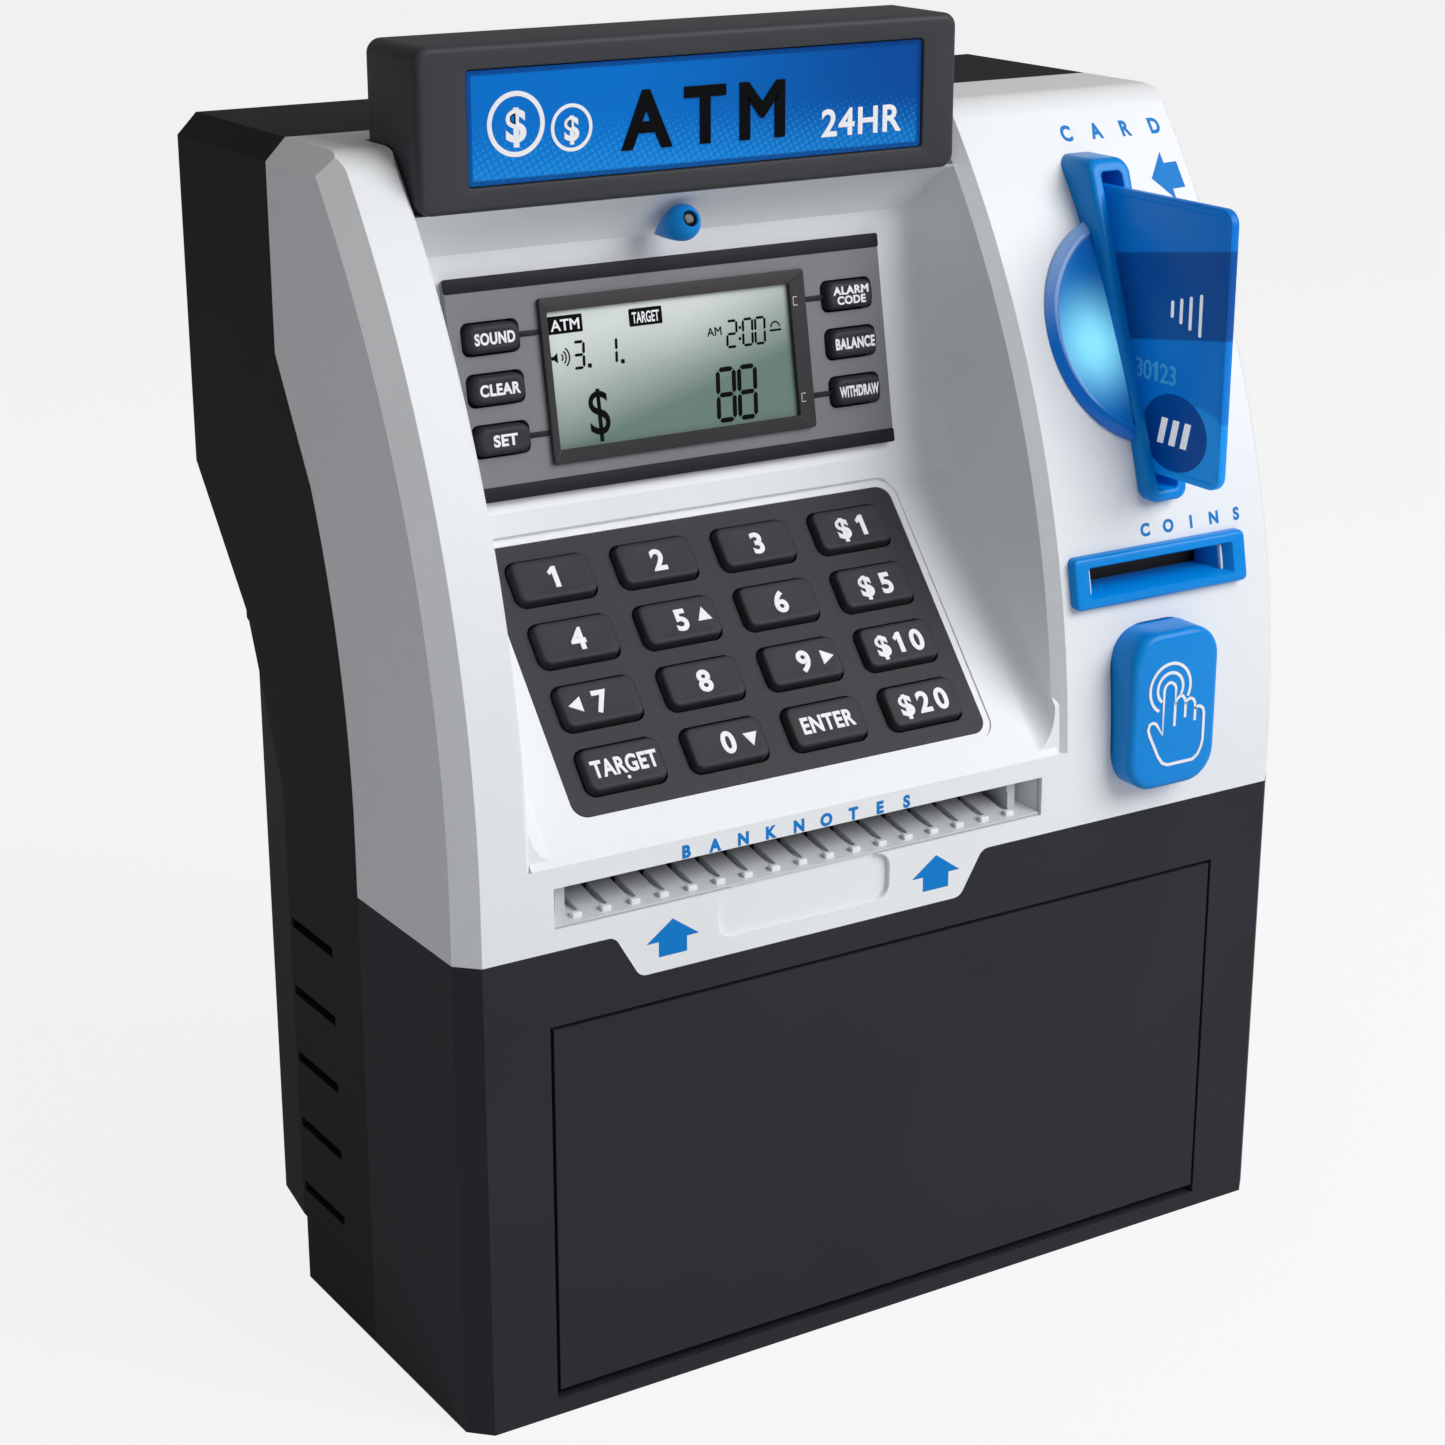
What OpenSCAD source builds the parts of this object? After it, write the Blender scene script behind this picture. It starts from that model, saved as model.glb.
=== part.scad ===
// Toy cash machine savings bank, as an assembly of separate pieces.
// Millimetres. X to the right seen from the front, Y to the back, Z up.
// The origin is the middle of the footprint, card included, on the surface it stands on.

/* [Case] */
// Width of the case
body_w = 190; // [184:1:240]
// Depth of the case at the top
body_d = 108.4; // [104:0.1:140]
// Height of the case, without the sign
body_h = 231.3; // [230:0.1:236]
// Depth of the case below the slanted back
low_d = 87.4; // [82:0.1:94]
// Depth of the foot below the step in the back
foot_d = 72.8; // [70:0.1:80]
// Height of the dark lower half
lower_h = 94.3; // [92:0.1:96]
// Radius of the curved front
front_r = 206; // [196:1:240]
// Height at which the front starts to curve back
arc_z = 103; // [100:0.5:106]
// Wall of the three case shells
wall = 2.4; // [1.8:0.1:3]
// Chamfer along the outer edges
edge_c = 4; // [2:0.5:5]
// Depth of the seam between front and back shells
seam_d = 42; // [40:0.5:48]

/* [Fascia] */
// Width of the cheek on the left of the sunken fascia
cheek_w = 14.4; // [12:0.1:16]
// Width of the sunken fascia
fascia_w = 117.1; // [114:0.1:122]
// How far the keypad and the display sit left of the middle of the fascia
fascia_shift = 0.7; // [0:0.1:2]
// Tilt of the keypad from level
keypad_tilt = 49.5; // [46:0.5:51]
// Tilt of the display from level
display_tilt = 79.7; // [78:0.1:82]
// Wall behind the fascia
fascia_t = 3; // [2.6:0.1:3.2]
// Bevel along the inner edge of the left cheek
left_bevel = 1; // [0.6:0.1:3]
// Bevel along the inner edge of the right cheek
right_bevel = 2.3; // [1:0.1:3]
// Fillet between the fascia and its side walls
fascia_fillet = 5; // [2:0.5:6]

/* [Keypad] */
// Width of the key mat
mat_w = 91.4; // [90:0.2:96]
// Length of the key mat up the slope
mat_l = 54.2; // [53:0.2:55]
// Width of a key
key_w = 17; // [15:0.1:17.6]
// Height of a key up the slope
key_h = 9; // [7.5:0.1:9.4]
// Spacing of the keys across
key_px = 22.2; // [21:0.1:22.8]
// Spacing of the keys up the slope
key_py = 12.73; // [12.4:0.01:13]
// How far a key stands above its mat
key_proud = 1.6; // [1:0.1:3]
// Travel of every key
key_travel = 1.2; // [0.8:0.1:1.4]

/* [Display] */
// Width of the grey display panel
panel_w = 95; // [92:0.5:98]
// Height of the grey display panel
panel_h = 41; // [40:0.5:42]
// Width of the frame round the screen
lcd_w = 58.2; // [52:0.1:59]
// Height of the frame round the screen
lcd_h = 30.6; // [26:0.1:32]
// Width of a key beside the screen
side_key_w = 11.4; // [10:0.1:12]
// Height of a key beside the screen
side_key_h = 5.6; // [5:0.1:6.4]

/* [Sign] */
// Height of the sign box
sign_h = 29.2; // [28:0.2:36]
// Depth of the sign box
sign_d = 21; // [18:0.5:26]
// Height at which the sign box stands
sign_z = 220; // [218:0.5:222]

/* [Door] */
// Margin of the case on each side of the door
door_margin = 18.1; // [16:0.1:26]
// Height of the door's top edge
door_top = 79; // [74:0.5:80]
// Thickness of the door
door_t = 3; // [2.4:0.1:3.2]
// Gap round the door
door_gap = 0.7; // [0.5:0.1:1.2]
// Diameter of the hinge pins
pin_d = 2; // [1.6:0.1:2.4]

/* [Card, coins and button] */
// Length of the bank card
card_l = 85.6; // [80:0.2:90]
// Height of the bank card
card_h = 54; // [50:0.2:55]
// Thickness of the bank card
card_t = 2; // [1.2:0.1:2.2]
// How far the card stands out past the front of the case
card_out = 11; // [8:0.5:16]
// Width of the coin slot
coin_w = 30.5; // [26:0.1:33]
// Height of the coin slot
coin_h = 4.4; // [4.2:0.1:5]
// Width of the touch button
button_w = 22; // [20:0.1:25]
// Height of the touch button
button_h = 32.4; // [28:0.1:33]
// How far the touch button stands out
button_out = 6; // [4:0.5:8]
// Travel of the touch button
button_travel = 2.4; // [1.5:0.1:2.6]

/* [Note feed] */
// Width of the banknote slot
slot_w = 109; // [90:1:112]
// Radius of the driven rollers
roller_r = 5.5; // [5:0.1:5.6]
// Radius of the pinch rollers
pinch_r = 4.6; // [4:0.1:4.8]
// Gear module
gear_m = 0.7; // [0.6:0.01:0.72]
// Teeth of the gear on the roller shaft
gear_teeth = 22; // [20:1:24]
// Teeth of the motor's pinion
pinion_teeth = 11; // [10:1:12]

/* [Hidden] */
$fn = 48;
smooth = 360;
big = 400;
half_w = body_w / 2;
front_y = card_out - (body_d + card_out) / 2;
case_dark = [0.2, 0.2, 0.215];
case_white = [0.9, 0.91, 0.93];
trim_blue = [0.08, 0.45, 0.8];
board_green = [0.1, 0.35, 0.2];
steel = [0.7, 0.7, 0.72];
rubber_dark = [0.12, 0.12, 0.13];
fit = 0.3;

// Outline of the case seen from the side
corner_r = 8.5;
corner_z = body_h - corner_r;
corner_y = front_r - sqrt(pow(front_r - corner_r, 2) - pow(corner_z - arc_z, 2));
chamfer_shrink = 0.6;
step_z = 13.8;
slant_low_z = 138.6;
slant_rise = 25.4;
slant_turn = atan((body_d - low_d) / slant_rise);
taper_y = 74;
taper_in = 2;
taper_top = 106;
tab_w = 72.1;
tab_h = 8.9;
tab_side = 5.2;
tab_r = 2.5;
seam_top = 25.7;
seam_top_z = 192.5;
seam_bend = 13;
seam_bend_z = 170.8;
seam_r = 175;
seam_z = 105;

// Sunken fascia
fascia_x0 = cheek_w - half_w;
fascia_x1 = fascia_x0 + fascia_w;
fascia_x = (fascia_x0 + fascia_x1) / 2 - fascia_shift;
ledge_z = 110.1;
slope_l = 63.6;
kink_y = slope_l * cos(keypad_tilt);
kink_z = ledge_z + slope_l * sin(keypad_tilt);
display_z = 210.4;
display_y = kink_y + (display_z - kink_z) / tan(display_tilt);
shelf_y = 38;
sign_y = 36.5;
overhang_turn = atan((sign_z - display_z) / (display_y - shelf_y));
cove_r = 22;
sign_gap = 0.35;

// Keypad and display, measured along their own slopes
mat_v = 8.2;
mat_t = 1.4;
mat_sink = 0.4;
mat_ledge = 2.2;
mat_step = 1.6;
mat_step_deep = 0.3;
flange_t = 1;
flange_out = 1.1;
board_t = 1.6;
key_deep = mat_sink + mat_t + 0.2;
keypad_board_z = -(key_deep + flange_t + key_travel + 0.4);
panel_v = 28;
panel_t = 1.8;
frame_t = 1;
side_key_x = 39.2;
side_key_py = 9.3;
side_key_proud = 3.6;
screen_w = lcd_w - 5.2;
screen_h = lcd_h - 4.8;
screen_t = 2.4;
lip_t = 0.5;
lip_v = 7.2;
main_board_y = 58;

// Banknote slot and feed
slot_x = fascia_x + 0.9;
slot_z = 98.4;
slot_h = 7.9;
comb_n = 17;
comb_pitch = slot_w / 18;
comb_w = 1.5;
comb_back = 11.2;
nip_z = 102;
feed_y = 17;
feed_z = nip_z + roller_r;
pinch_z = nip_z - fit - pinch_r;
shaft_r = 1.5;
pinch_shaft_r = 1.2;
wheel_w = 8;
plate_t = 2;
plate_x0 = slot_x - slot_w / 2 + 2.3;
plate_x1 = slot_x + slot_w / 2 - 3.6;
gear_w = 3;
gear_gap = gear_m * (gear_teeth + pinion_teeth) / 2;
motor_turn = 33;
motor_y = feed_y + gear_gap * cos(motor_turn);
motor_z = feed_z + gear_gap * sin(motor_turn);
motor_r = 10;
motor_flat = 7.5;
motor_l = 25;
motor_shaft_r = 1;
gear_x = plate_x0 - 0.8 - gear_w;
motor_x = plate_x0 + plate_t + 0.2;
motor_gap = 2.6;
wheel_x = fascia_x - motor_x - motor_l - motor_gap - wheel_w / 2;

// Vault, door and latch
door_w = body_w - 2 * door_margin;
door_low = 5.3;
hinge_y = 3.5;
hinge_z = 8;
hinge_boss_r = 3;
bin_w = door_w + 2 * door_gap + 0.8;
bin_t = 2;
bin_back = foot_d - wall - 0.4;
bin_top = 88;
bin_floor_y = 8.4;
latch_x = 33 - half_w;
latch_y = 9.5;
latch_r = 2;
latch_tab_z = door_top - 7;
latch_travel = 6;
catch_r = latch_r + 1.3;

// Card, coins and button on the right cheek
card_x = half_w - 30;
card_z = 188.4;
card_rim = 0.5;
bezel_w = 10;
bezel_h = 64;
bezel_lift = 15.6;
bezel_back = 0.4;
bezel_r = 2.6;
card_slot_w = 4.9;
card_slot_h = 59.2;
sleeve_t = 1;
lens_r = 23.7;
lens_x = card_x + 3.7;
lens_out = 1.2;
lens_bevel = 2.5;
coin_x = half_w - 32.5;
coin_z = 143.2;
coin_out = 2;
coin_rim_x = 6.5;
coin_rim_z = 2.8;
funnel_x = 2.8;
funnel_z = 0.6;
funnel_l = 5;
sleeve_end = 8.3;
gate_y = 10.8;
gate_z = coin_z + 6.6;
gate_t = 1.2;
gate_r = 1;
chute_t = 1.5;
chute_y = 20.5;
chute_d = 10;
chute_low = 90;
button_x = half_w - 34.1;
button_z = 116.8;
button_r = 8;
button_flange = 1.6;
button_back = 8;
switch_y = button_back + button_travel + 1.6;

// Screws, batteries and speaker
boss_x = half_w - wall - 4.4;
boss_r = 4.6;
boss_reach = 12;
screw_heights = [22, 115, 212];
screw_r = 1.45;
screw_head_r = 2.9;
screw_seat = 6;
cell_r = 7.2;
cell_l = 50;
cell_pitch = 15.2;
cell_y = body_d - 10.4;
box_in_w = 49;
box_t = 1.6;
box_y = body_d - 18;
box_z0 = 169;
box_z1 = 223;
cover_w = 54;
cover_t = 1.3;
cover_z0 = slant_low_z + slant_rise + 0.3;
cover_z1 = 224.5;
cover_flare = 0.8;
speaker_r = 14;
speaker_y = 59;
speaker_z = 57;
vent_pitch = 14.4;
vent_y0 = 54.5;
vent_l = 18.4;

// Depth of the curved front, or of a surface lying i inside it, at height z
function curve_y(z, i = 0) = front_r - sqrt(pow(front_r - i, 2) - pow(z - arc_z, 2));

// Depth of the seam between the front and back shells at height z
function seam_y(z) =
  z < seam_z ? seam_d
  : z < seam_bend_z ? seam_d + seam_r - sqrt(pow(seam_r, 2) - pow(z - seam_z, 2))
  : seam_d + seam_top;

// Depth of the middle of the wall behind the display at height z
function display_back(z) = kink_y + (z - kink_z) / tan(display_tilt) + fascia_t / 2;

// Depth of the back of the case at height z
function back_y(z) = z < slant_low_z ? low_d : body_d;

// Where a line through p at angle a meets a line through q at angle b
function meet(p, a, q, b) =
  let (d = q - p, t = (d[0] * sin(b) - d[1] * cos(b)) / sin(b - a))
  [p[0] + t * cos(a), p[1] + t * sin(a)];

// Point p moved g to the right of the direction at angle a
function beside(p, a, g) = [p[0] + g * sin(a), p[1] - g * cos(a)];

// Outline of the hollow in front of the fascia and under the sign, grown by g
function hollow_points(g) =
  let (
    a = keypad_tilt,
    b = display_tilt,
    c = 180 - overhang_turn,
    low = beside([0, ledge_z], a, g),
    mid = beside([kink_y, kink_z], b, g),
    top = beside([display_y, display_z], c, g),
    shelf = [0, sign_z - g]
  )
  [
    [low[0] - 30 * cos(a), low[1] - 30 * sin(a)],
    meet(low, a, mid, b),
    meet(mid, b, top, c),
    meet(top, c, shelf, 0),
    [sign_y + sign_d + g, sign_z - g],
    [sign_y + sign_d + g, big],
    [low[0] - 30 * cos(a), big]
  ];

// Puts a piece drawn from the front plane into the frame of the whole toy
module place() {
  translate([0, front_y, 0]) children();
}

// Carries an outline drawn as depth and height across from x0 to x1
module across(x0, x1) {
  translate([x0, 0, 0]) rotate([90, 0, 90]) linear_extrude(x1 - x0) children();
}

// Carries an outline drawn as width and height back from y0 to y1
module through(y0, y1) {
  translate([0, y1, 0]) rotate([90, 0, 0]) linear_extrude(y1 - y0) children();
}

module rod_x(x0, x1, y, z, r) {
  translate([x0, y, z]) rotate([0, 90, 0]) cylinder(h = x1 - x0, r = r);
}

module rod_y(x, y0, y1, z, r) {
  translate([x, y0, z]) rotate([-90, 0, 0]) cylinder(h = y1 - y0, r = r);
}

module round_rect(w, h, r) {
  square([w - 2 * r, h], center = true);
  square([w, h - 2 * r], center = true);
  for (sx = [-1, 1], sy = [-1, 1])
    translate([sx * (w / 2 - r), sy * (h / 2 - r)]) circle(r);
}

// A pad with straight sides, from z0 to z1
module pad(w, h, r, z0, z1) {
  translate([0, 0, z0]) linear_extrude(z1 - z0) round_rect(w, h, r);
}

// The frame of the keypad slope: x across, y up the slope, z out of it
module on_keypad() {
  translate([fascia_x, 0, ledge_z]) rotate([keypad_tilt, 0, 0]) children();
}

// The frame of the display slope, from its lower edge
module on_display() {
  translate([fascia_x, kink_y, kink_z]) rotate([display_tilt, 0, 0]) children();
}

// A frame on the curved front at height z: x across, y up the curve, z out of it
module on_curve(x, z) {
  translate([x, curve_y(z), z]) rotate([90 - asin((z - arc_z) / front_r), 0, 0]) children();
}

// Everything behind the curved front, or behind a surface g in front of it
module behind_curve(x0, x1, g = 0) {
  translate([x0, front_r, arc_z]) rotate([0, 90, 0])
    cylinder(h = x1 - x0, r = front_r + g, $fn = smooth);
}

// Outline of the case from the side, pulled in by i all round
module side_outline(i) {
  lift = i * tan(slant_turn / 2);
  turn = atan2(corner_z - arc_z, corner_y - front_r);
  difference() {
    intersection() {
      polygon([[i, i], [foot_d - i, i], [foot_d - i, step_z + i], [low_d - i, step_z + i],
        [low_d - i, slant_low_z + lift], [body_d - i, slant_low_z + slant_rise + lift],
        [body_d - i, body_h - i], [i, body_h - i]]);
      union() {
        translate([i, 0]) square([big, arc_z]);
        translate([front_r, arc_z]) circle(front_r - i, $fn = smooth);
      }
    }
    translate([corner_y, corner_z])
      polygon([[0, 0], [40 * cos(turn), 40 * sin(turn)], [0, 40]]);
  }
  translate([corner_y, corner_z]) circle(corner_r - i);
}

// Cone that cuts the chamfer along one edge of the curved front
module edge_cone(i) {
  r = front_r - edge_c - i * (1 - chamfer_shrink);
  w = 2 * (half_w - i);
  translate([-w / 2, front_r, arc_z]) rotate([0, 90, 0])
    cylinder(h = w, r1 = r + w, r2 = r, $fn = smooth);
}

// What the sides lose towards the back, below the slant
module side_taper(i) {
  turn = atan(taper_in / (low_d - taper_y));
  y = taper_y + i * tan(turn / 2);
  intersection() {
    linear_extrude(big) polygon([[half_w - i, y], [half_w + 5, y], [half_w + 5, y + 50],
      [half_w - i - 50 * tan(turn), y + 50]]);
    across(0, big) polygon([[taper_y - 1, -1], [low_d + 1, -1], [low_d + 1, slant_low_z - 1],
      [low_d - 1, slant_low_z - 2], [taper_y, taper_top], [taper_y - 1, taper_top - 3]]);
  }
}

// What the chamfer takes off the rounded top front corner, at the right
module corner_chamfer(w, c, r) {
  turn = atan2(corner_z - arc_z, corner_y - front_r);
  translate([w - c, corner_y, corner_z]) difference() {
    across(0, c + 1) polygon([[0, 0], [40 * cos(turn), 40 * sin(turn)], [0, 40]]);
    rotate([0, 90, 0]) cylinder(h = c + 1, r1 = r, r2 = r - c - 1);
  }
}

// The whole case as one block, pulled in by i all round
module body_solid(i) {
  w = half_w - i;
  c = edge_c - i * chamfer_shrink;
  difference() {
    intersection() {
      across(-w, w) side_outline(i);
      through(-10, big) polygon([[-w, -1], [w, -1], [w, body_h - i - c], [w - c, body_h - i],
        [c - w, body_h - i], [-w, body_h - i - c]]);
      union() {
        linear_extrude(arc_z) polygon([[-w, big], [-w, i + c], [c - w, i], [w - c, i],
          [w, i + c], [w, big]]);
        intersection() {
          edge_cone(i);
          mirror([1, 0, 0]) edge_cone(i);
          translate([-w, 0, arc_z]) cube([2 * w, big, body_h]);
        }
      }
    }
    side_taper(i);
    mirror([1, 0, 0]) side_taper(i);
    corner_chamfer(w, c, corner_r - i);
    mirror([1, 0, 0]) corner_chamfer(w, c, corner_r - i);
  }
}

// Bevel b along the inner edge of one cheek, at x, leaning to the side s
module cheek_bevel_cut(x, s, b) {
  intersection() {
    translate([x, front_r, arc_z]) rotate([0, 90, 0]) rotate_extrude($fn = smooth)
      polygon([[front_r - b, 0], [front_r + 1, s * (b + 1)], [front_r + 1, 0]]);
    translate([-half_w, -10, ledge_z]) cube([body_w, 100, big]);
  }
}

// The round that hollows the overhang under the sign, pulled in by i
module cove_rod(x0, x1, i = 0) {
  half = norm([display_y - shelf_y, sign_z - display_z]) / 2;
  d = sqrt(pow(cove_r, 2) - pow(half, 2));
  rod_x(x0, x1, (display_y + shelf_y) / 2 - d * sin(overhang_turn),
    (display_z + sign_z) / 2 - d * cos(overhang_turn), cove_r - i, $fn = smooth);
}

module cove() {
  out = 5 * [sin(overhang_turn), cos(overhang_turn)];
  intersection() {
    cove_rod(fascia_x0, fascia_x1);
    across(fascia_x0, fascia_x1) polygon([[display_y, display_z], [shelf_y, sign_z],
      [shelf_y, sign_z] + out, [display_y, display_z] + out]);
  }
}

// Fillets that run up both sides of the fascia
module fascia_fillets() {
  r = fascia_fillet;
  display_l = (display_z - kink_z) / sin(display_tilt);
  intersection() {
    union() {
      for (s = [-1, 1]) {
        x = s > 0 ? fascia_x1 - fascia_x : fascia_x - fascia_x0;
        on_display() mirror([s > 0 ? 0 : 1, 0, 0]) through(-1.8 * r, display_l + 0.6 * r)
          fillet_outline(x, r);
        on_keypad() mirror([s > 0 ? 0 : 1, 0, 0]) through(0, slope_l + 1.8 * r)
          fillet_outline(x, r);
      }
    }
    behind_curve(fascia_x0 - 1, fascia_x1 + 1, -left_bevel);
    across(fascia_x0 - 1, fascia_x1 + 1) polygon(hollow_points(1));
  }
}

// A fillet of radius r against a side wall at x, cut a little short of both tangents
module fillet_outline(x, r) {
  cut = 0.04;
  difference() {
    translate([x - r, -1]) square([r + 1, r + 1]);
    translate([x - r + cut, r - cut]) circle(r);
  }
}

// The wall of the case with its fascia, before it is split into shells
module case_wall() {
  difference() {
    body_solid(0);
    difference() {
      body_solid(wall);
      across(fascia_x0 - wall, fascia_x1 + wall) polygon(hollow_points(fascia_t));
      for (s = [-1, 1], z = screw_heights)
        rod_y(s * boss_x, seam_y(z) - boss_reach, back_y(z), z, boss_r);
    }
    across(fascia_x0, fascia_x1) polygon(hollow_points(0));
    cheek_bevel_cut(fascia_x0, -1, left_bevel);
    cheek_bevel_cut(fascia_x1, 1, right_bevel);
    cove();
    for (s = [-1, 1], z = screw_heights) {
      rod_y(s * boss_x, seam_y(z) - boss_reach - 1, back_y(z), z, screw_r + 0.05);
      rod_y(s * boss_x, seam_y(z) + screw_seat, back_y(z) + 5, z, screw_head_r + fit);
    }
  }
}

// Everything behind the seam
module rear_region() {
  across(-big, big) {
    polygon([[seam_d, -1], [big, -1], [big, big], [seam_d + seam_top, big],
      [seam_d + seam_top, seam_top_z], [seam_d + seam_bend, seam_bend_z], [seam_d, seam_z]]);
    intersection() {
      translate([seam_d + seam_r, seam_z]) circle(seam_r, $fn = smooth);
      translate([seam_d, seam_z]) square([2 * seam_bend, seam_bend_z - seam_z]);
    }
  }
}

// The sliver between a corner at p, with sides at angles a and b, and a round of radius r in it
module corner_tip(p, a, b, r) {
  half = (b - a) / 2;
  middle = p + r / sin(half) * [cos(a + half), sin(a + half)];
  difference() {
    polygon([p, p + r / tan(half) * [cos(a), sin(a)], middle,
      p + r / tan(half) * [cos(b), sin(b)]]);
    translate(middle) circle(r);
  }
}

// Right half of the tab that hangs from the white shell, from its middle
module tab_outline() {
  tab_x = tab_w / 2;
  turn = atan(tab_h / tab_side);
  difference() {
    union() {
      polygon([[0, -tab_h], [tab_x, -tab_h], [tab_x + tab_side, 0], [0, 0]]);
      corner_tip([tab_x + tab_side, 0], 180 + turn, 360, tab_r);
    }
    corner_tip([tab_x, -tab_h], turn, 180, tab_r);
  }
}

// Everything above the line where the white shell meets the dark one
module upper_region() {
  through(-10, big) {
    translate([-big, lower_h]) square([2 * big, big]);
    translate([fascia_x, lower_h]) {
      tab_outline();
      mirror([1, 0]) tab_outline();
    }
  }
}

module rear_shell() {
  color(case_dark) place() difference() {
    union() {
      intersection() {
        case_wall();
        rear_region();
      }
      translate([-box_in_w / 2 - box_t, box_y - box_t, box_z0 - box_t])
        cube([box_in_w + 2 * box_t, body_d - box_y, box_z1 - box_z0 + 2 * box_t]);
    }
    translate([-box_in_w / 2, box_y, box_z0])
      cube([box_in_w, body_d, box_z1 - box_z0]);
    cover_blank(0.25, slant_low_z + slant_rise - 6, cover_z1 + fit, cover_t + 0.1);
    for (k = [0:4])
      translate([-half_w - 1, vent_y0, 78.5 - k * vent_pitch - 1])
        cube([wall + 2, vent_l, 2]);
  }
}

module upper_shell() {
  color(case_white) place() difference() {
    union() {
      intersection() {
        difference() {
          case_wall();
          rear_region();
        }
        upper_region();
      }
      fascia_fillets();
      intersection() {
        on_display() across(fascia_x0 - fascia_x - 1, fascia_x1 - fascia_x + 1)
          polygon([[-0.86, lip_t], [lip_v - 2.2, lip_t], [lip_v, 0], [lip_v, -1], [-0.5, -1]]);
        behind_curve(fascia_x0 - 2, fascia_x1 + 2, -left_bevel);
      }
      for (s = [-1, 1]) {
        rod_y(button_x + s * (button_w / 2 + 4.6), wall - 0.5, switch_y, button_z, 2.2);
        for (z = [168, 200])
          rod_y(fascia_x + s * 44, display_back(z), main_board_y, z, 2.5);
      }
      for (sx = [-1, 1], v = [mat_v - 0.5, mat_v + mat_l - 2])
        on_keypad() translate([sx * (mat_w / 2 + 1), v, keypad_board_z])
          cylinder(h = -keypad_board_z - 1, r = 2);
    }
    on_keypad() translate([0, mat_v + mat_l / 2, 0]) {
      pad(mat_w + 2 * mat_step, mat_l + 2 * mat_step, 4, -mat_step_deep, 2);
      pad(mat_w + 0.3, mat_l + 0.3, 3, -mat_sink - mat_t, 2);
      pad(mat_w - 2 * mat_ledge, mat_l - 2 * mat_ledge + 0.8, 2, -10, 2);
    }
    on_display() translate([0, panel_v, 0]) {
      pad(screen_w + 4, screen_h + 3, 1, -10, 1);
      for (s = [-1, 1], k = [-1, 0, 1])
        translate([s * side_key_x, k * side_key_py])
          pad(side_key_w + 2.4, side_key_h + 2.4, 1.5, -10, 1);
    }
    through(-5, 2 * wall) translate([slot_x, slot_z + slot_h / 2])
      square([slot_w, slot_h], center = true);
    through(-5, 1) translate([fascia_x, slot_z - 4.75]) round_rect(38.5, 9.5, 3);
    through(-5, wall + 12) translate([button_x, button_z])
      round_rect(button_w + 2 * fit, button_h + 2 * fit, button_r + fit);
    through(-5, 3 * wall + 6) translate([coin_x, coin_z])
      square([coin_w + 2 * sleeve_t + 0.6, coin_h + 2 * sleeve_t + 0.6], center = true);
    through(-5, 60) translate([card_x, card_z])
      square([card_slot_w + 2 * sleeve_t + 0.6, card_slot_h + 2 * sleeve_t + 0.6], center = true);
    on_curve(lens_x - 15, card_z) translate([0, 0, -5]) cylinder(h = 10, r = 4);
  }
}

module lower_shell() {
  color(case_dark) place() difference() {
    case_wall();
    rear_region();
    upper_region();
    translate([-door_w / 2 - door_gap, -1, 3.4])
      cube([door_w + 2 * door_gap, 2 * wall, door_top + door_gap - 3.4]);
  }
}

module header_box() {
  w = fascia_w - 2 * (fascia_shift + sign_gap);
  r = 3.5;
  color([0.25, 0.25, 0.27]) place() translate([fascia_x, sign_y, sign_z]) difference() {
    intersection() {
      through(0, sign_d) translate([0, sign_h / 2]) round_rect(w, sign_h, r);
      across(-w / 2, w / 2) translate([sign_d / 2, sign_h / 2]) round_rect(sign_d, sign_h, r);
      translate([0, sign_d / 2]) linear_extrude(sign_h) round_rect(w, sign_d, r);
    }
    translate([4 - w / 2, 4, -1]) cube([w - 8, sign_d - 6, sign_h - 1.5]);
    through(-1, 1.5) translate([1, sign_h / 2]) round_rect(97.4, 20.4, 0.8);
  }
}

module header_panel() {
  color([0.02, 0.36, 0.75]) place() translate([fascia_x + 1, sign_y, sign_z + sign_h / 2])
    through(0.6, 1.5) round_rect(97, 20, 0.6);
}

// The frame of the overhang under the sign, from its lower edge: y up it, z out of it
module on_overhang() {
  translate([fascia_x, display_y, display_z]) rotate([180 - overhang_turn, 0, 0]) children();
}

module camera_eye() {
  color(trim_blue) place() intersection() {
    on_overhang() translate([1.8, 6.4, 0]) difference() {
      translate([0, 0, -2]) linear_extrude(5.4) {
        circle(4.4);
        rotate(38) polygon([[0, 4.4], [-7.6, 0], [0, -4.4]]);
      }
      translate([0, 0, 1.4]) cylinder(h = 3, r = 2.4);
    }
    cove_rod(fascia_x0, fascia_x1, 0.05);
  }
}

module camera_lens() {
  color([0.05, 0.05, 0.06]) place() on_overhang() translate([1.8, 6.4, 1.4]) {
    cylinder(h = 1, r = 2.4);
    translate([0, 0, 1]) cylinder(h = 0.6, r1 = 1.5, r2 = 0.8);
  }
}

module display_panel() {
  color([0.5, 0.51, 0.53]) place() on_display() translate([0, panel_v, 0]) difference() {
    pad(panel_w, panel_h, 1.2, 0, panel_t);
    pad(screen_w + 3, screen_h + 2, 0.8, -1, 3);
    for (s = [-1, 1], k = [-1, 0, 1])
      translate([s * side_key_x, k * side_key_py])
        pad(side_key_w + 0.6, side_key_h + 0.6, 1.5, -1, 3);
  }
}

module lcd_frame() {
  color(rubber_dark) place() on_display() translate([0, panel_v, panel_t]) difference() {
    pad(lcd_w, lcd_h, 0.8, 0, frame_t);
    pad(screen_w, screen_h, 0.4, -1, 3);
  }
}

module lcd_module() {
  color([0.55, 0.62, 0.55]) place() on_display() translate([0, panel_v, panel_t])
    pad(screen_w + 2.6, screen_h + 1.6, 0.4, -screen_t, 0);
}

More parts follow.
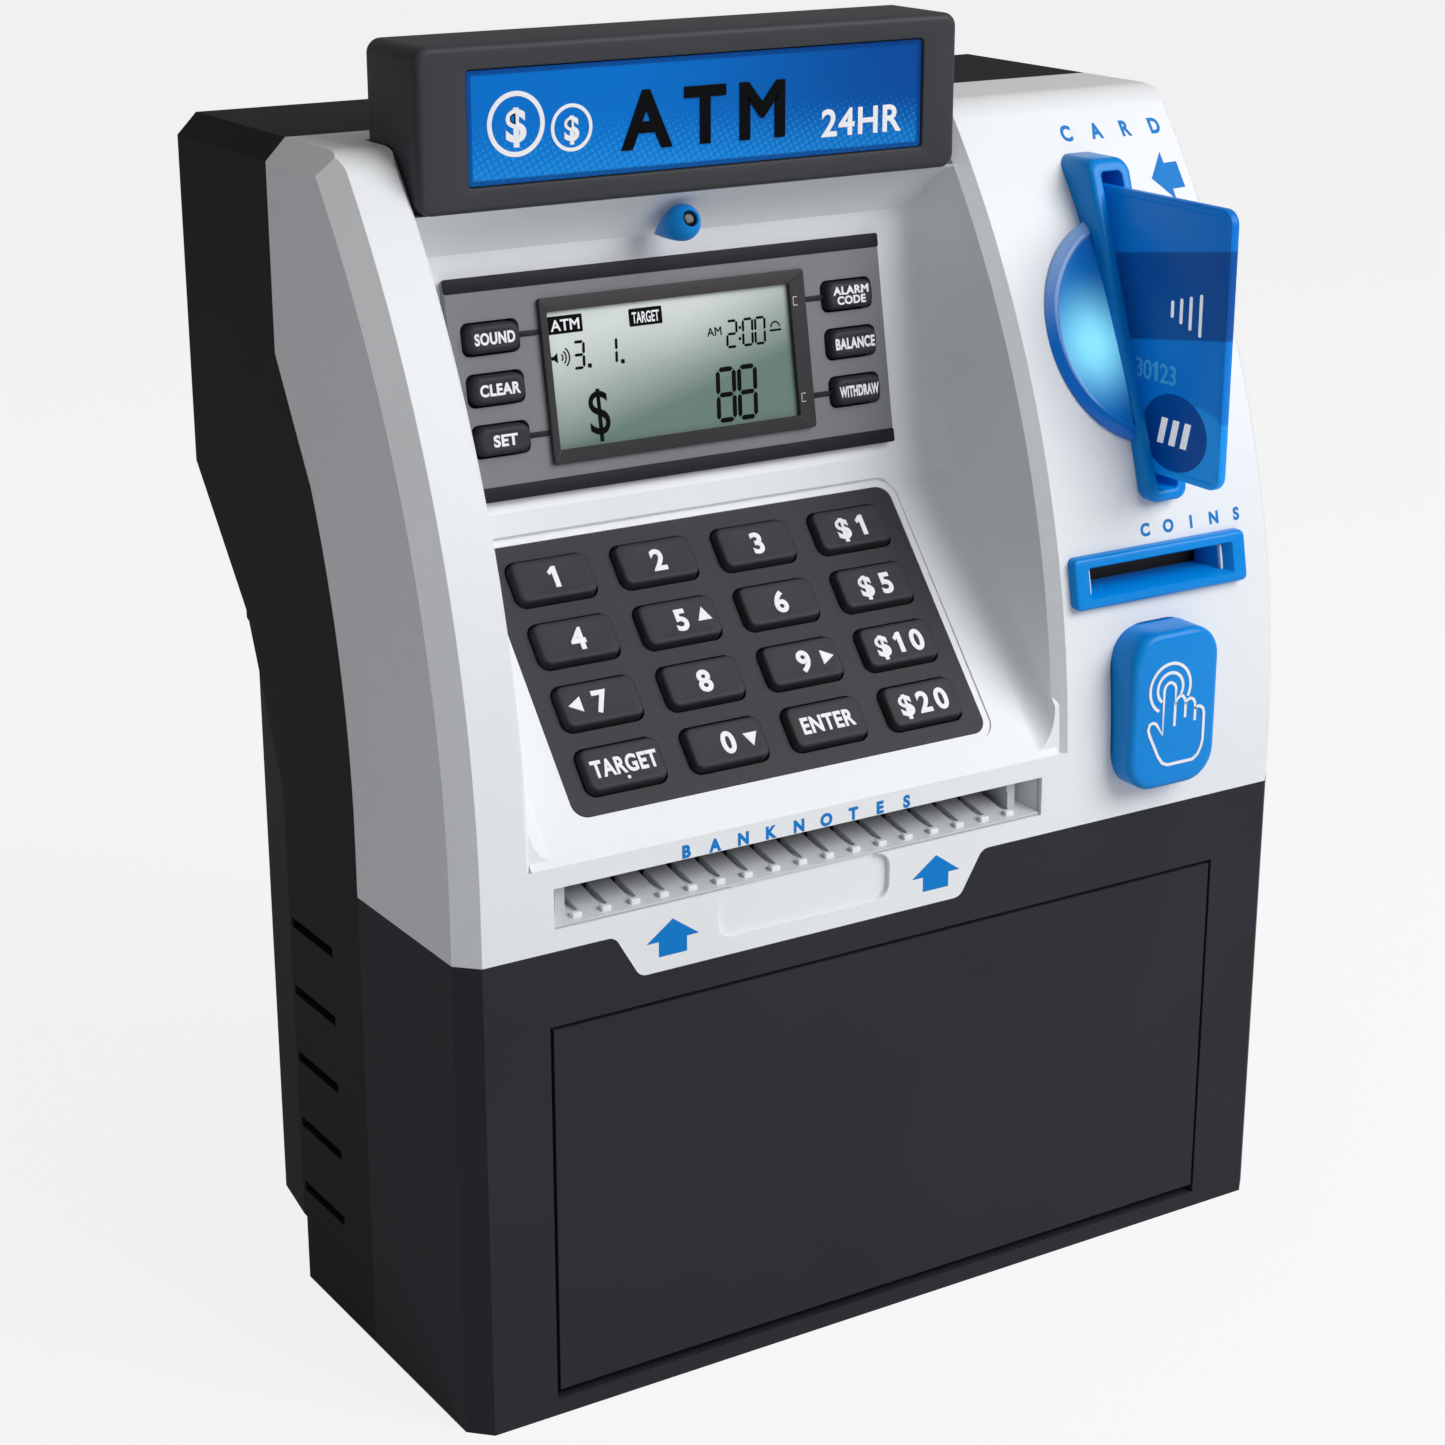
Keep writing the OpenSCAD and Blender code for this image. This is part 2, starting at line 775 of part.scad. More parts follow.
module main_board() {
  color(board_green) place() {
    translate([fascia_x - 50, main_board_y, 160]) cube([100, board_t, 48]);
    translate([fascia_x - 12, main_board_y + board_t, 178]) cube([16, 1.8, 16]);
    for (k = [0:3])
      rod_y(fascia_x + 20 + 6 * k, main_board_y + board_t, main_board_y + 9, 172, 2.5);
  }
}

module keypad_mat() {
  color(rubber_dark) place() on_keypad() translate([0, mat_v + mat_l / 2, 0]) difference() {
    pad(mat_w, mat_l, 3, -mat_sink - mat_t, -mat_sink);
    for (i = [-1.5:1.5], j = [-1.5:1.5])
      translate([i * key_px, j * key_py]) pad(key_w + 0.6, key_h + 0.6, 2.3, -5, 2);
  }
}

module keypad_board() {
  color(board_green) place() on_keypad() translate([0, mat_v + mat_l / 2 - 1.5, 0]) {
    pad(mat_w + 6, mat_l + 2, 1, keypad_board_z - board_t, keypad_board_z);
    for (i = [-1.5:1.5], j = [-1.5:1.5])
      translate([i * key_px, j * key_py + 1.5, keypad_board_z]) cylinder(h = 0.2, r = 2.5);
  }
}

// A key of the keypad at column c from the left and row r from the bottom
module keypad_key(c, r) {
  color(rubber_dark) place() on_keypad()
    translate([(c - 1.5) * key_px, mat_v + mat_l / 2 + (r - 1.5) * key_py, 0]) {
      pad(key_w, key_h, 2, -key_deep, key_proud - mat_sink);
      pad(key_w + 2 * flange_out, key_h + 2 * flange_out, 2, -key_deep - flange_t, -key_deep);
    }
}

// A key beside the screen: side -1 or 1, row -1 to 1 from the bottom
module side_key(s, r) {
  color(rubber_dark) place() on_display()
    translate([s * side_key_x, panel_v + r * side_key_py, 0]) {
      pad(side_key_w, side_key_h, 1.2, -0.2, side_key_proud);
      pad(side_key_w + 1.6, side_key_h + 1.6, 1.2, -1.4, -0.2);
      translate([0, 0, -4]) cylinder(h = 3, r = 1.5);
    }
}

module key_1() { keypad_key(0, 3); }
module key_2() { keypad_key(1, 3); }
module key_3() { keypad_key(2, 3); }
module key_amount_1() { keypad_key(3, 3); }
module key_4() { keypad_key(0, 2); }
module key_5() { keypad_key(1, 2); }
module key_6() { keypad_key(2, 2); }
module key_amount_5() { keypad_key(3, 2); }
module key_7() { keypad_key(0, 1); }
module key_8() { keypad_key(1, 1); }
module key_9() { keypad_key(2, 1); }
module key_amount_10() { keypad_key(3, 1); }
module key_target() { keypad_key(0, 0); }
module key_0() { keypad_key(1, 0); }
module key_enter() { keypad_key(2, 0); }
module key_amount_20() { keypad_key(3, 0); }
module key_sound() { side_key(-1, 1); }
module key_clear() { side_key(-1, 0); }
module key_set() { side_key(-1, -1); }
module key_alarm() { side_key(1, 1); }
module key_balance() { side_key(1, 0); }
module key_withdraw() { side_key(1, -1); }

module card_bezel() {
  sleeve_back = card_l - card_out + 1.6;
  x0 = card_x - card_slot_w / 2;
  z0 = card_z - card_slot_h / 2;
  color(trim_blue) place() {
    difference() {
      union() {
        difference() {
          intersection() {
            translate([0, bezel_back, bezel_lift])
              behind_curve(card_x - bezel_w / 2, card_x + bezel_w / 2);
            through(-20, 60) translate([card_x, card_z]) round_rect(bezel_w, bezel_h, bezel_r);
          }
          behind_curve(0, half_w);
        }
        intersection() {
          behind_curve(0, half_w, 1);
          translate([x0 - sleeve_t, 0, z0 - sleeve_t])
            cube([card_slot_w + 2 * sleeve_t, sleeve_back, card_slot_h + 2 * sleeve_t]);
        }
      }
      translate([x0, -20, z0]) cube([card_slot_w, sleeve_back + 20 - 0.8, card_slot_h]);
    }
    for (s = [-1, 1])
      translate([card_x, 0, card_z + s * (card_h / 2 + fit)]) {
        translate([-card_slot_w / 2, 45, s > 0 ? 0 : -(card_slot_h - card_h) / 2 + fit])
          cube([card_slot_w, sleeve_back - 45.4, (card_slot_h - card_h) / 2 - fit]);
        for (t = [-1, 1])
          translate([t > 0 ? card_t / 2 + fit : -card_slot_w / 2, 45, s > 0 ? -3 : -0.2])
            cube([(card_slot_w - card_t) / 2 - fit, sleeve_back - 45.4, 3.2]);
      }
  }
}

module card_lens() {
  cut = card_x - bezel_w / 2 - 0.1 - lens_x;
  color([0.25, 0.65, 0.95]) place() difference() {
    on_curve(lens_x, card_z) intersection() {
      union() {
        translate([0, 0, -2]) cylinder(h = 2.2, r = lens_r);
        translate([0, 0, 0.2]) cylinder(h = lens_out - 0.2, r1 = lens_r, r2 = lens_r - lens_bevel);
      }
      translate([-lens_r - 1, -lens_r - 1, -5]) cube([lens_r + 1 + cut, 2 * lens_r + 2, 20]);
    }
    behind_curve(0, half_w);
  }
}

module card_led() {
  color([0.85, 0.95, 1]) place() on_curve(lens_x - 15, card_z) {
    translate([0, 0, -wall - 2]) cylinder(h = 3.6, r = 2.5);
    translate([-5, -8, -wall - 3.4]) cube([10, 16, 1.4]);
  }
}

module coin_bezel() {
  w = coin_w + 2 * coin_rim_x;
  h = coin_h + 2 * coin_rim_z;
  color(trim_blue) place() difference() {
    union() {
      difference() {
        intersection() {
          behind_curve(coin_x - w / 2, coin_x + w / 2, coin_out);
          translate([coin_x - w / 2, -10, coin_z - h / 2]) cube([w, 30, h]);
        }
        behind_curve(0, half_w);
      }
      intersection() {
        behind_curve(0, half_w, 1);
        translate([coin_x - coin_w / 2 - sleeve_t, 0, coin_z - coin_h / 2 - sleeve_t])
          cube([coin_w + 2 * sleeve_t, sleeve_end, coin_h + 2 * sleeve_t]);
      }
    }
    translate([coin_x - coin_w / 2, -10, coin_z - coin_h / 2]) cube([coin_w, 40, coin_h]);
    coin_funnel(curve_y(coin_z) - coin_out - 0.6);
  }
}

// The slopes that lead a coin into its slot, from depth y
module coin_funnel(y) {
  x = coin_w / 2;
  z = coin_h / 2;
  intersection() {
    translate([coin_x, y, 0]) linear_extrude(big) polygon([[-x - funnel_x, 0],
      [x + funnel_x, 0], [x, funnel_l], [-x, funnel_l]]);
    across(coin_x - big, coin_x + big) translate([y, coin_z]) polygon([[0, -z - funnel_z],
      [funnel_l, -z], [funnel_l, z], [0, z + funnel_z]]);
  }
}

// Outlines of the coin chute, pulled in by i, from the side and from the front
module chute_side(i) {
  floor_z = coin_z - 5 + i;
  polygon([[0, floor_z], [0, gate_z + 4 - i], [chute_y + chute_d - i, gate_z + 4 - i],
    [chute_y + chute_d - i, chute_low - i], [chute_y + i, chute_low - i],
    [chute_y + i, floor_z - chute_d], [gate_y + i, floor_z]]);
}

module chute_front(i) {
  x0 = coin_x - coin_w / 2 - 2.9;
  x1 = coin_x + coin_w / 2 + 3.2;
  polygon([[x0 + i, chute_low - i - 1], [bin_w / 2 - 1 - i, chute_low - i - 1],
    [bin_w / 2 - 1 - i, 112 + i / 3], [x1 - i, 128 + i / 3], [x1 - i, big], [x0 + i, big]]);
}

module coin_chute() {
  color([0.3, 0.3, 0.32]) place() intersection() {
    behind_curve(0, half_w, -wall - 0.2);
    difference() {
      intersection() {
        across(0, half_w) chute_side(0);
        through(0, 60) chute_front(0);
      }
      intersection() {
        across(0, half_w) chute_side(chute_t);
        through(-5, 60) chute_front(chute_t);
      }
      rod_x(0, half_w, gate_y, gate_z, gate_r + 0.1);
    }
  }
}

module coin_gate() {
  x0 = coin_x - coin_w / 2 - 2.8;
  x1 = coin_x + coin_w / 2 + 3.1;
  color(steel) place() {
    rod_x(x0, x1, gate_y, gate_z, gate_r);
    translate([x0 + chute_t + 0.5, gate_y - gate_t / 2, coin_z - 3.4])
      cube([x1 - x0 - 2 * chute_t - 1, gate_t, gate_z - coin_z + 3.4]);
  }
}

module touch_button() {
  color(trim_blue) place() {
    through(-button_out, button_back) translate([button_x, button_z])
      round_rect(button_w, button_h, button_r);
    through(button_back - 1.6, button_back) translate([button_x, button_z])
      round_rect(button_w + 2 * button_flange, button_h + 2 * button_flange, button_r + 1);
  }
}

module button_switch() {
  w = button_w + 14;
  color(board_green) place() {
    translate([button_x - w / 2, switch_y, button_z - 9]) cube([w, board_t, 18]);
    translate([button_x - 3, switch_y - 1.2, button_z - 3]) cube([6, 1.2, 6]);
  }
}

module bank_card() {
  color([0.05, 0.4, 0.75]) place() {
    across(card_x - card_t / 2 + card_rim, card_x + card_t / 2 - card_rim)
      translate([card_l / 2 - card_out, card_z]) round_rect(card_l, card_h, 3);
    across(card_x - card_t / 2, card_x + card_t / 2) difference() {
      translate([card_l / 2 - card_out, card_z]) round_rect(card_l, card_h, 3);
      translate([card_l / 2 - card_out, card_z]) round_rect(card_l - 5, card_h - 5, 1.5);
    }
  }
}

module note_guide() {
  x0 = slot_x - slot_w / 2 + 0.3;
  x1 = slot_x + slot_w / 2 - 0.3;
  y0 = wall + fit;
  y1 = y0 + 1.8;
  roof = slot_z + slot_h;
  color([0.62, 0.63, 0.65]) place() difference() {
    union() {
      through(y0, y1) difference() {
        translate([x0 - 3, slot_z - 3]) square([x1 - x0 + 6, slot_h + 4.2]);
        translate([x0, slot_z]) square([x1 - x0, slot_h]);
      }
      across(x0, x1) polygon([[0.5, slot_z + 0.2], [0.5, slot_z + 0.6],
        [comb_back, nip_z - 0.6], [comb_back, slot_z - 1], [y1 + 1, slot_z - 3],
        [y0, slot_z - 3], [y0, slot_z + 0.2]]);
      translate([0, 0, slot_z + 0.4]) linear_extrude(slot_h - 0.8) {
        polygon([[x0, 1], [x0 + 5.6, comb_back], [x0, comb_back]]);
        polygon([[x1, 1], [x1, comb_back], [x1 - 4, comb_back]]);
      }
      across(plate_x0, plate_x0 + plate_t) polygon([[y1 - 0.5, 92], [24, 92], [38, 104],
        [38, 124], [22, 124], [14, 116], [y1 - 0.5, roof + 1.2]]);
      across(plate_x1 - plate_t, plate_x1) polygon([[y1 - 0.5, 92], [24, 92], [24, 114],
        [12, 114], [y1 - 0.5, roof + 1.2]]);
    }
    for (k = [0:comb_n - 1])
      translate([slot_x + (k - (comb_n - 1) / 2) * comb_pitch - comb_w / 2, y0 + 0.2, 0])
        across(0, comb_w) polygon([[0, slot_z + 0.9], [comb_back, nip_z - 2.2],
          [comb_back, nip_z + 1], [0, nip_z + 1]]);
    translate([x0 - 1, feed_y - gear_gap * 0.76, slot_z - 4])
      cube([plate_x0 - x0 + 1, 10, 20]);
    rod_x(x0, x1, feed_y, feed_z, shaft_r + 0.1);
    rod_x(x0, x1, feed_y, pinch_z, pinch_shaft_r + 0.1);
    rod_x(x0, slot_x, motor_y, motor_z, 3.2);
    on_keypad() translate([-mat_w / 2 - 3.3, mat_v - 3, keypad_board_z - board_t - fit])
      cube([mat_w + 6.6, mat_l + 4, 30]);
  }
}

module feed_motor() {
  x0 = motor_x;
  color(steel) place() difference() {
    union() {
      intersection() {
        rod_x(x0, x0 + motor_l, motor_y, motor_z, motor_r);
        translate([x0, motor_y, motor_z]) rotate([motor_turn, 0, 0])
          translate([0, -motor_flat, -motor_r]) cube([motor_l, 2 * motor_flat, 2 * motor_r]);
      }
      rod_x(x0 - plate_t, x0, motor_y, motor_z, 3);
    }
    rod_x(x0 - 5, x0 + 8, motor_y, motor_z, motor_shaft_r + 0.1);
  }
}

// Outline of a gear with n teeth: involute flanks, a little thinner than half the pitch
module gear_outline(n) {
  pitch = gear_m * n / 2;
  base = pitch * cos(20);
  tip = pitch + 0.75 * gear_m;
  root = pitch - 1.1 * gear_m;
  thin = 0.06 / pitch * 180 / PI;
  function inv(r) = tan(acos(base / r)) * 180 / PI - acos(base / r);
  radii = [max(base, root) + 0.001, (max(base, root) + pitch) / 2, pitch, (pitch + tip) / 2, tip];
  half = [for (r = radii) 90 / n + inv(pitch) - inv(r) - thin];
  polygon([for (k = [0:n - 1]) each concat(
    [[root * cos(k * 360 / n - half[0]), root * sin(k * 360 / n - half[0])]],
    [for (j = [0:4]) [radii[j] * cos(k * 360 / n - half[j]), radii[j] * sin(k * 360 / n - half[j])]],
    [for (j = [4:-1:0]) [radii[j] * cos(k * 360 / n + half[j]), radii[j] * sin(k * 360 / n + half[j])]],
    [[root * cos(k * 360 / n + half[0]), root * sin(k * 360 / n + half[0])]])]);
}

module feed_roller() {
  color(rubber_dark) place() {
    rod_x(gear_x - 1, plate_x1 + 0.6, feed_y, feed_z, shaft_r);
    for (s = [-1, 1])
      rod_x(fascia_x + s * wheel_x - wheel_w / 2, fascia_x + s * wheel_x + wheel_w / 2,
        feed_y, feed_z, roller_r);
  }
}

module drive_gear() {
  color(case_white) place() difference() {
    translate([gear_x, feed_y, feed_z]) rotate([90, 0, 90]) rotate(motor_turn)
      linear_extrude(gear_w) gear_outline(gear_teeth);
    rod_x(gear_x - 1, gear_x + gear_w + 1, feed_y, feed_z, shaft_r);
  }
}

module motor_pinion() {
  color(case_white) place() {
    translate([gear_x, motor_y, motor_z]) rotate([90, 0, 90])
      rotate(motor_turn + 180 + 180 / pinion_teeth) linear_extrude(gear_w)
        gear_outline(pinion_teeth);
    rod_x(gear_x - 0.6, plate_x0 + plate_t + 6, motor_y, motor_z, motor_shaft_r);
  }
}

module pinch_roller() {
  color(rubber_dark) place() {
    rod_x(plate_x0 - 0.6, plate_x1 + 0.6, feed_y, pinch_z, pinch_shaft_r);
    for (s = [-1, 1])
      rod_x(fascia_x + s * wheel_x - wheel_w / 2, fascia_x + s * wheel_x + wheel_w / 2,
        feed_y, pinch_z, pinch_r);
  }
}

module vault_bin() {
  w = bin_w + 2 * bin_t;
  color([0.32, 0.32, 0.34]) place() difference() {
    translate([-w / 2, wall, wall]) cube([w, bin_back - wall, bin_top - wall]);
    translate([-bin_w / 2, wall + bin_t, wall + bin_t])
      cube([bin_w, bin_back - wall - 2 * bin_t, big]);
    translate([-bin_w / 2, 0, 0]) cube([bin_w, bin_floor_y, big]);
    rod_x(-half_w, half_w, hinge_y, hinge_z, pin_d / 2);
  }
}

module door_pins() {
  color(steel) place() for (s = [-1, 1])
    rod_x(s > 0 ? door_w / 2 - 5 : -bin_w / 2 - bin_t, s > 0 ? bin_w / 2 + bin_t : 5 - door_w / 2,
      hinge_y, hinge_z, pin_d / 2);
}

module door() {
  color(case_dark) place() difference() {
    union() {
      translate([-door_w / 2, 0, door_low]) cube([door_w, door_t, door_top - door_low]);
      for (s = [-1, 1])
        rod_x(s > 0 ? door_w / 2 - 7 : -door_w / 2, s > 0 ? door_w / 2 : 7 - door_w / 2,
          hinge_y, hinge_z, hinge_boss_r);
      translate([latch_x - 6, door_t - 1, latch_tab_z]) cube([12, latch_y + 3, 2.5]);
    }
    for (s = [-1, 1])
      rod_x(s > 0 ? door_w / 2 - 6 : -door_w / 2 - 1, s > 0 ? door_w / 2 + 1 : 6 - door_w / 2,
        hinge_y, hinge_z, pin_d / 2 + 0.1);
    translate([latch_x, latch_y, latch_tab_z - 1]) cylinder(h = 5, r = catch_r);
  }
}

module latch_solenoid() {
  z0 = door_top + door_gap + 0.6;
  color(steel) place() difference() {
    translate([latch_x - 10, wall, z0]) cube([20, 14, 11.4]);
    translate([latch_x, latch_y, z0 - 1]) cylinder(h = 20, r = latch_r + 0.2);
  }
}

module latch_bolt() {
  z0 = latch_tab_z + 4.8;
  color([0.8, 0.8, 0.82]) place() {
    translate([latch_x, latch_y, z0]) cylinder(h = 14, r = latch_r);
  }
}

module speaker() {
  x0 = wall - half_w;
  color([0.15, 0.15, 0.16]) place() translate([x0, speaker_y, speaker_z]) rotate([0, 90, 0])
    rotate_extrude() polygon([[0, 3], [speaker_r - 3, 1.2], [speaker_r - 2, 0], [speaker_r, 0],
      [speaker_r, 1.6], [7.5, 5.4], [7.5, 9], [0, 9]]);
}

module batteries() {
  color([0.15, 0.15, 0.17]) place() for (k = [-1, 0, 1])
    translate([k * cell_pitch, cell_y, box_z0 + 3.4]) {
      cylinder(h = cell_l - 1, r = cell_r);
      cylinder(h = cell_l, r = 2.6);
    }
}

module battery_contacts() {
  z1 = box_z0 + 3.4;
  color(steel) place() for (k = [-1, 0, 1])
    translate([k * cell_pitch, cell_y, 0]) {
      translate([-5, -5, box_z0]) cube([10, 10, 0.5]);
      translate([0, 0, box_z0]) cylinder(h = z1 - box_z0, r1 = 4, r2 = 2.5);
      translate([-5, -5, z1 + cell_l]) cube([10, 10, box_z1 - z1 - cell_l]);
    }
}

// The sliding battery cover, grown by g, flush with the back of the case
module cover_blank(g, z0, z1, t) {
  translate([0, 0, z0]) linear_extrude(z1 - z0) polygon([
    [-cover_w / 2 - g, body_d + (g > 0 ? 1 : 0)],
    [-cover_w / 2 - g, body_d],
    [-cover_w / 2 - cover_flare - g, body_d - t], [cover_w / 2 + cover_flare + g, body_d - t],
    [cover_w / 2 + g, body_d],
    [cover_w / 2 + g, body_d + (g > 0 ? 1 : 0)]]);
}

module battery_cover() {
  color(case_dark) place() cover_blank(0, cover_z0, cover_z1, cover_t);
}

module case_screws() {
  color(steel) place() for (s = [-1, 1], z = screw_heights) {
    rod_y(s * boss_x, seam_y(z) - boss_reach + 3, seam_y(z) + screw_seat, z, screw_r);
    rod_y(s * boss_x, seam_y(z) + screw_seat, seam_y(z) + screw_seat + 2.2, z, screw_head_r);
  }
}

rear_shell();
upper_shell();
lower_shell();
header_box();
header_panel();
camera_eye();
camera_lens();
display_panel();
lcd_frame();
lcd_module();
main_board();
keypad_mat();
keypad_board();
card_bezel();
card_lens();
card_led();
coin_bezel();
coin_chute();
button_switch();
note_guide();
feed_motor();
vault_bin();
door_pins();
latch_solenoid();
speaker();
batteries();
battery_contacts();
case_screws();
door();
latch_bolt();
touch_button();
bank_card();
feed_roller();
drive_gear();
motor_pinion();
pinch_roller();
battery_cover();
coin_gate();
key_1();
key_2();
key_3();
key_amount_1();
key_4();
key_5();
key_6();
key_amount_5();
key_7();
key_8();
key_9();
key_amount_10();
key_target();
key_0();
key_enter();
key_amount_20();
key_sound();
key_clear();
key_set();
key_alarm();
key_balance();
key_withdraw();
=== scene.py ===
import math

import bmesh
import bpy
import numpy as np
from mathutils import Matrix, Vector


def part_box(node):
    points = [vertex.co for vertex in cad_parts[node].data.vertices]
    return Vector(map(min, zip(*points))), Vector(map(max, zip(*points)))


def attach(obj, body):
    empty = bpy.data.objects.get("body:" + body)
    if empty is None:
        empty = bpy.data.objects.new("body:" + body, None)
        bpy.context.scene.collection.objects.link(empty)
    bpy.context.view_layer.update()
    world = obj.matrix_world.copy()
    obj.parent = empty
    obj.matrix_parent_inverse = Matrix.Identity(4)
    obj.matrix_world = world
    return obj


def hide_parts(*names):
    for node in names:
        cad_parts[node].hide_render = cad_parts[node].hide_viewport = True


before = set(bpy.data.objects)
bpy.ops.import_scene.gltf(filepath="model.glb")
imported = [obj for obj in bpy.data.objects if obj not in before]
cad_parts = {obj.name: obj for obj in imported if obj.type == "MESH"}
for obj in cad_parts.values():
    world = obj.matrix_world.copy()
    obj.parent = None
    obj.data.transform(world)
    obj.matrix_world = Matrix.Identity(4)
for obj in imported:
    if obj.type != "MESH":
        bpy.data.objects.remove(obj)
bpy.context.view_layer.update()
print("frame loaded:", len(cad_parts), "nodes")

mm = 0.001
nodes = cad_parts
scene = bpy.context.scene


def metres(**lengths):
    # lengths, or rows of them, given in millimetres
    return {name: tuple(v * mm for v in value) if isinstance(value, tuple) else value * mm
            for name, value in lengths.items()}


def middleOf(node):
    # x, y and z of the middle of a node's box
    return [0.5 * (low + high) for low, high in zip(*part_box(node))]


def sizeOf(node):
    # width, depth and height of a node's box
    return [high - low for low, high in zip(*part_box(node))]


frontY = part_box("lower_shell")[0].y
front = {"radius": 206 * mm, "arcZ": 103 * mm}    # the arc of the upper front starts at arcZ
fascia = {"x": middleOf("keypad_mat")[0], "ledgeZ": 110.1 * mm, "slope": 63.6 * mm, "keypadTilt": 49.5,
          "displayTilt": 79.7, "screenUp": 28 * mm}


# Places: each turns local points (across, up, out) into points of the toy.

def tilted(x, y, z, tilt):
    # across is X, up climbs the slope at tilt degrees, out leaves it at a right angle
    a = math.radians(tilt)
    turn = np.array([[1, 0, 0], [0, math.cos(a), -math.sin(a)], [0, math.sin(a), math.cos(a)]])
    return lambda p: np.asarray(p) @ turn.T + np.array([x, y, z])


def facing(x, y, z):
    # a plane that faces the front: across is X, up is Z, out is -Y
    return lambda p: np.stack([x + p[:, 0], y - p[:, 2], z + p[:, 1]], 1)


def caseY(z):
    # depth of the curved front at height z: flat below arcZ, an arc of the front radius above it
    rise = np.maximum(np.asarray(z, float) - front["arcZ"], 0)
    return frontY + front["radius"] - np.sqrt(front["radius"] ** 2 - rise ** 2)


def draped(x, z, depth=caseY):
    # across is X, up is Z, out is -Y from the surface whose depth at each height is depth(z)
    return lambda p: np.stack([x + p[:, 0], depth(z + p[:, 1]) - p[:, 2], z + p[:, 1]], 1)


def onCase(x, z):
    # a plane that touches the curved front at (x, z)
    rise = math.degrees(math.asin(max(0.0, z - front["arcZ"]) / front["radius"]))
    return tilted(x, float(caseY(z)), z, 90 - rise)


kinkY = frontY + fascia["slope"] * math.cos(math.radians(fascia["keypadTilt"]))
kinkZ = fascia["ledgeZ"] + fascia["slope"] * math.sin(math.radians(fascia["keypadTilt"]))
onKeypad = tilted(fascia["x"], frontY, fascia["ledgeZ"], fascia["keypadTilt"])
onDisplay = tilted(fascia["x"], kinkY, kinkZ, fascia["displayTilt"])


def onScreen(p):
    # the plane of the display, from the middle of the screen
    return onDisplay(p + np.array([0, fascia["screenUp"], 0]))


# Meshes: a part is its local vertices and its faces.

def loft(rings, loop=False):
    # ring k joined to ring k + 1 by quads, with each end closed by one face or the last ring joined
    # to the first; turned round where the sum of its corner volumes is negative
    rings = np.asarray(rings, float)
    many, count = rings.shape[:2]
    around = np.arange(count)
    ahead = np.roll(around, -1)
    spans = many if loop else many - 1
    low = np.arange(spans)[:, None] * count
    high = (np.arange(1, spans + 1)[:, None] % many) * count
    quads = np.stack([low + around, low + ahead, high + ahead, high + around], 2).reshape(-1, 4)
    verts = rings.reshape(-1, 3)
    a, b, c, d = (verts[quads[:, k]] for k in range(4))
    volume = np.sum(a * np.cross(b, c)) + np.sum(a * np.cross(c, d))
    caps = [] if loop else [around[::-1], around + (many - 1) * count]
    for cap in caps:
        fan = verts[cap]
        volume += np.sum(fan[0] * np.cross(fan[1:-1], fan[2:]))
    faces = quads.tolist() + [cap.tolist() for cap in caps]
    if volume < 0:
        faces = [face[::-1] for face in faces]
    return verts, faces


def gather(parts):
    # several parts as one
    verts, faces, base = [], [], 0
    for points, polygons in parts:
        verts.append(points)
        faces += [[corner + base for corner in polygon] for polygon in polygons]
        base += len(points)
    return np.concatenate(verts), faces


def addObject(name, data):
    thing = bpy.data.objects.new(name, data)
    scene.collection.objects.link(thing)
    return thing


def makePiece(name, part, place, finish, body="case", replaces=(), smooth=38):
    # smooth is the angle in degrees past which an edge stays sharp, or 0 for flat faces
    verts, faces = part
    mesh = bpy.data.meshes.new(name)
    mesh.from_pydata(place(verts).tolist(), [], faces)
    mesh.materials.append(finish)
    if smooth:
        mesh.polygons.foreach_set("use_smooth", np.ones(len(mesh.polygons), bool))
        mesh.set_sharp_from_angle(angle=math.radians(smooth))
    piece = addObject(name, mesh)
    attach(piece, body)
    if replaces:
        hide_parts(*replaces)


def makeInk(name, parts, place, finish, body="case"):
    # flat print
    makePiece(name, gather(parts), place, finish, body, smooth=0)


def roundLoop(width, height, radius, out, count=10, across=0.0, up=0.0):
    # a rectangle whose corners are quarter circles, as one ring at the height out
    radius = min(radius, 0.499 * width, 0.499 * height)
    quarter = math.pi / 2
    angle = np.tile(np.linspace(0, quarter, count), 4) + np.repeat(np.arange(4), count) * quarter
    sideX = np.repeat([1, -1, -1, 1], count) * (width / 2 - radius)
    sideY = np.repeat([1, 1, -1, -1], count) * (height / 2 - radius)
    return np.stack([across + sideX + radius * np.cos(angle),
                     up + sideY + radius * np.sin(angle), np.full(4 * count, out)], 1)


def easedEdge(width, height, radius, top, fillet, steps=5):
    # sizes of the rings from a side wall, over a quarter round edge, onto the top
    rings = []
    for t in np.linspace(0, math.pi / 2, steps):
        pull = fillet * (1 - math.cos(t))
        rings.append((width - 2 * pull, height - 2 * pull, max(radius - pull, 0.1 * mm),
                      top - fillet + fillet * math.sin(t)))
    return rings


def softPad(width, height, radius, low, high, fillet, across=0.0, up=0.0, count=6):
    # a pad with straight walls from low and an eased edge up to high
    sizes = [(width, height, radius, low)] + easedEdge(width, height, radius, high, fillet, 4)
    return loft([roundLoop(*size, count, across, up) for size in sizes])


def plate(points, low, high):
    # a flat outline given thickness from low to high
    return loft([np.column_stack([points, np.full(len(points), out)]) for out in (low, high)])


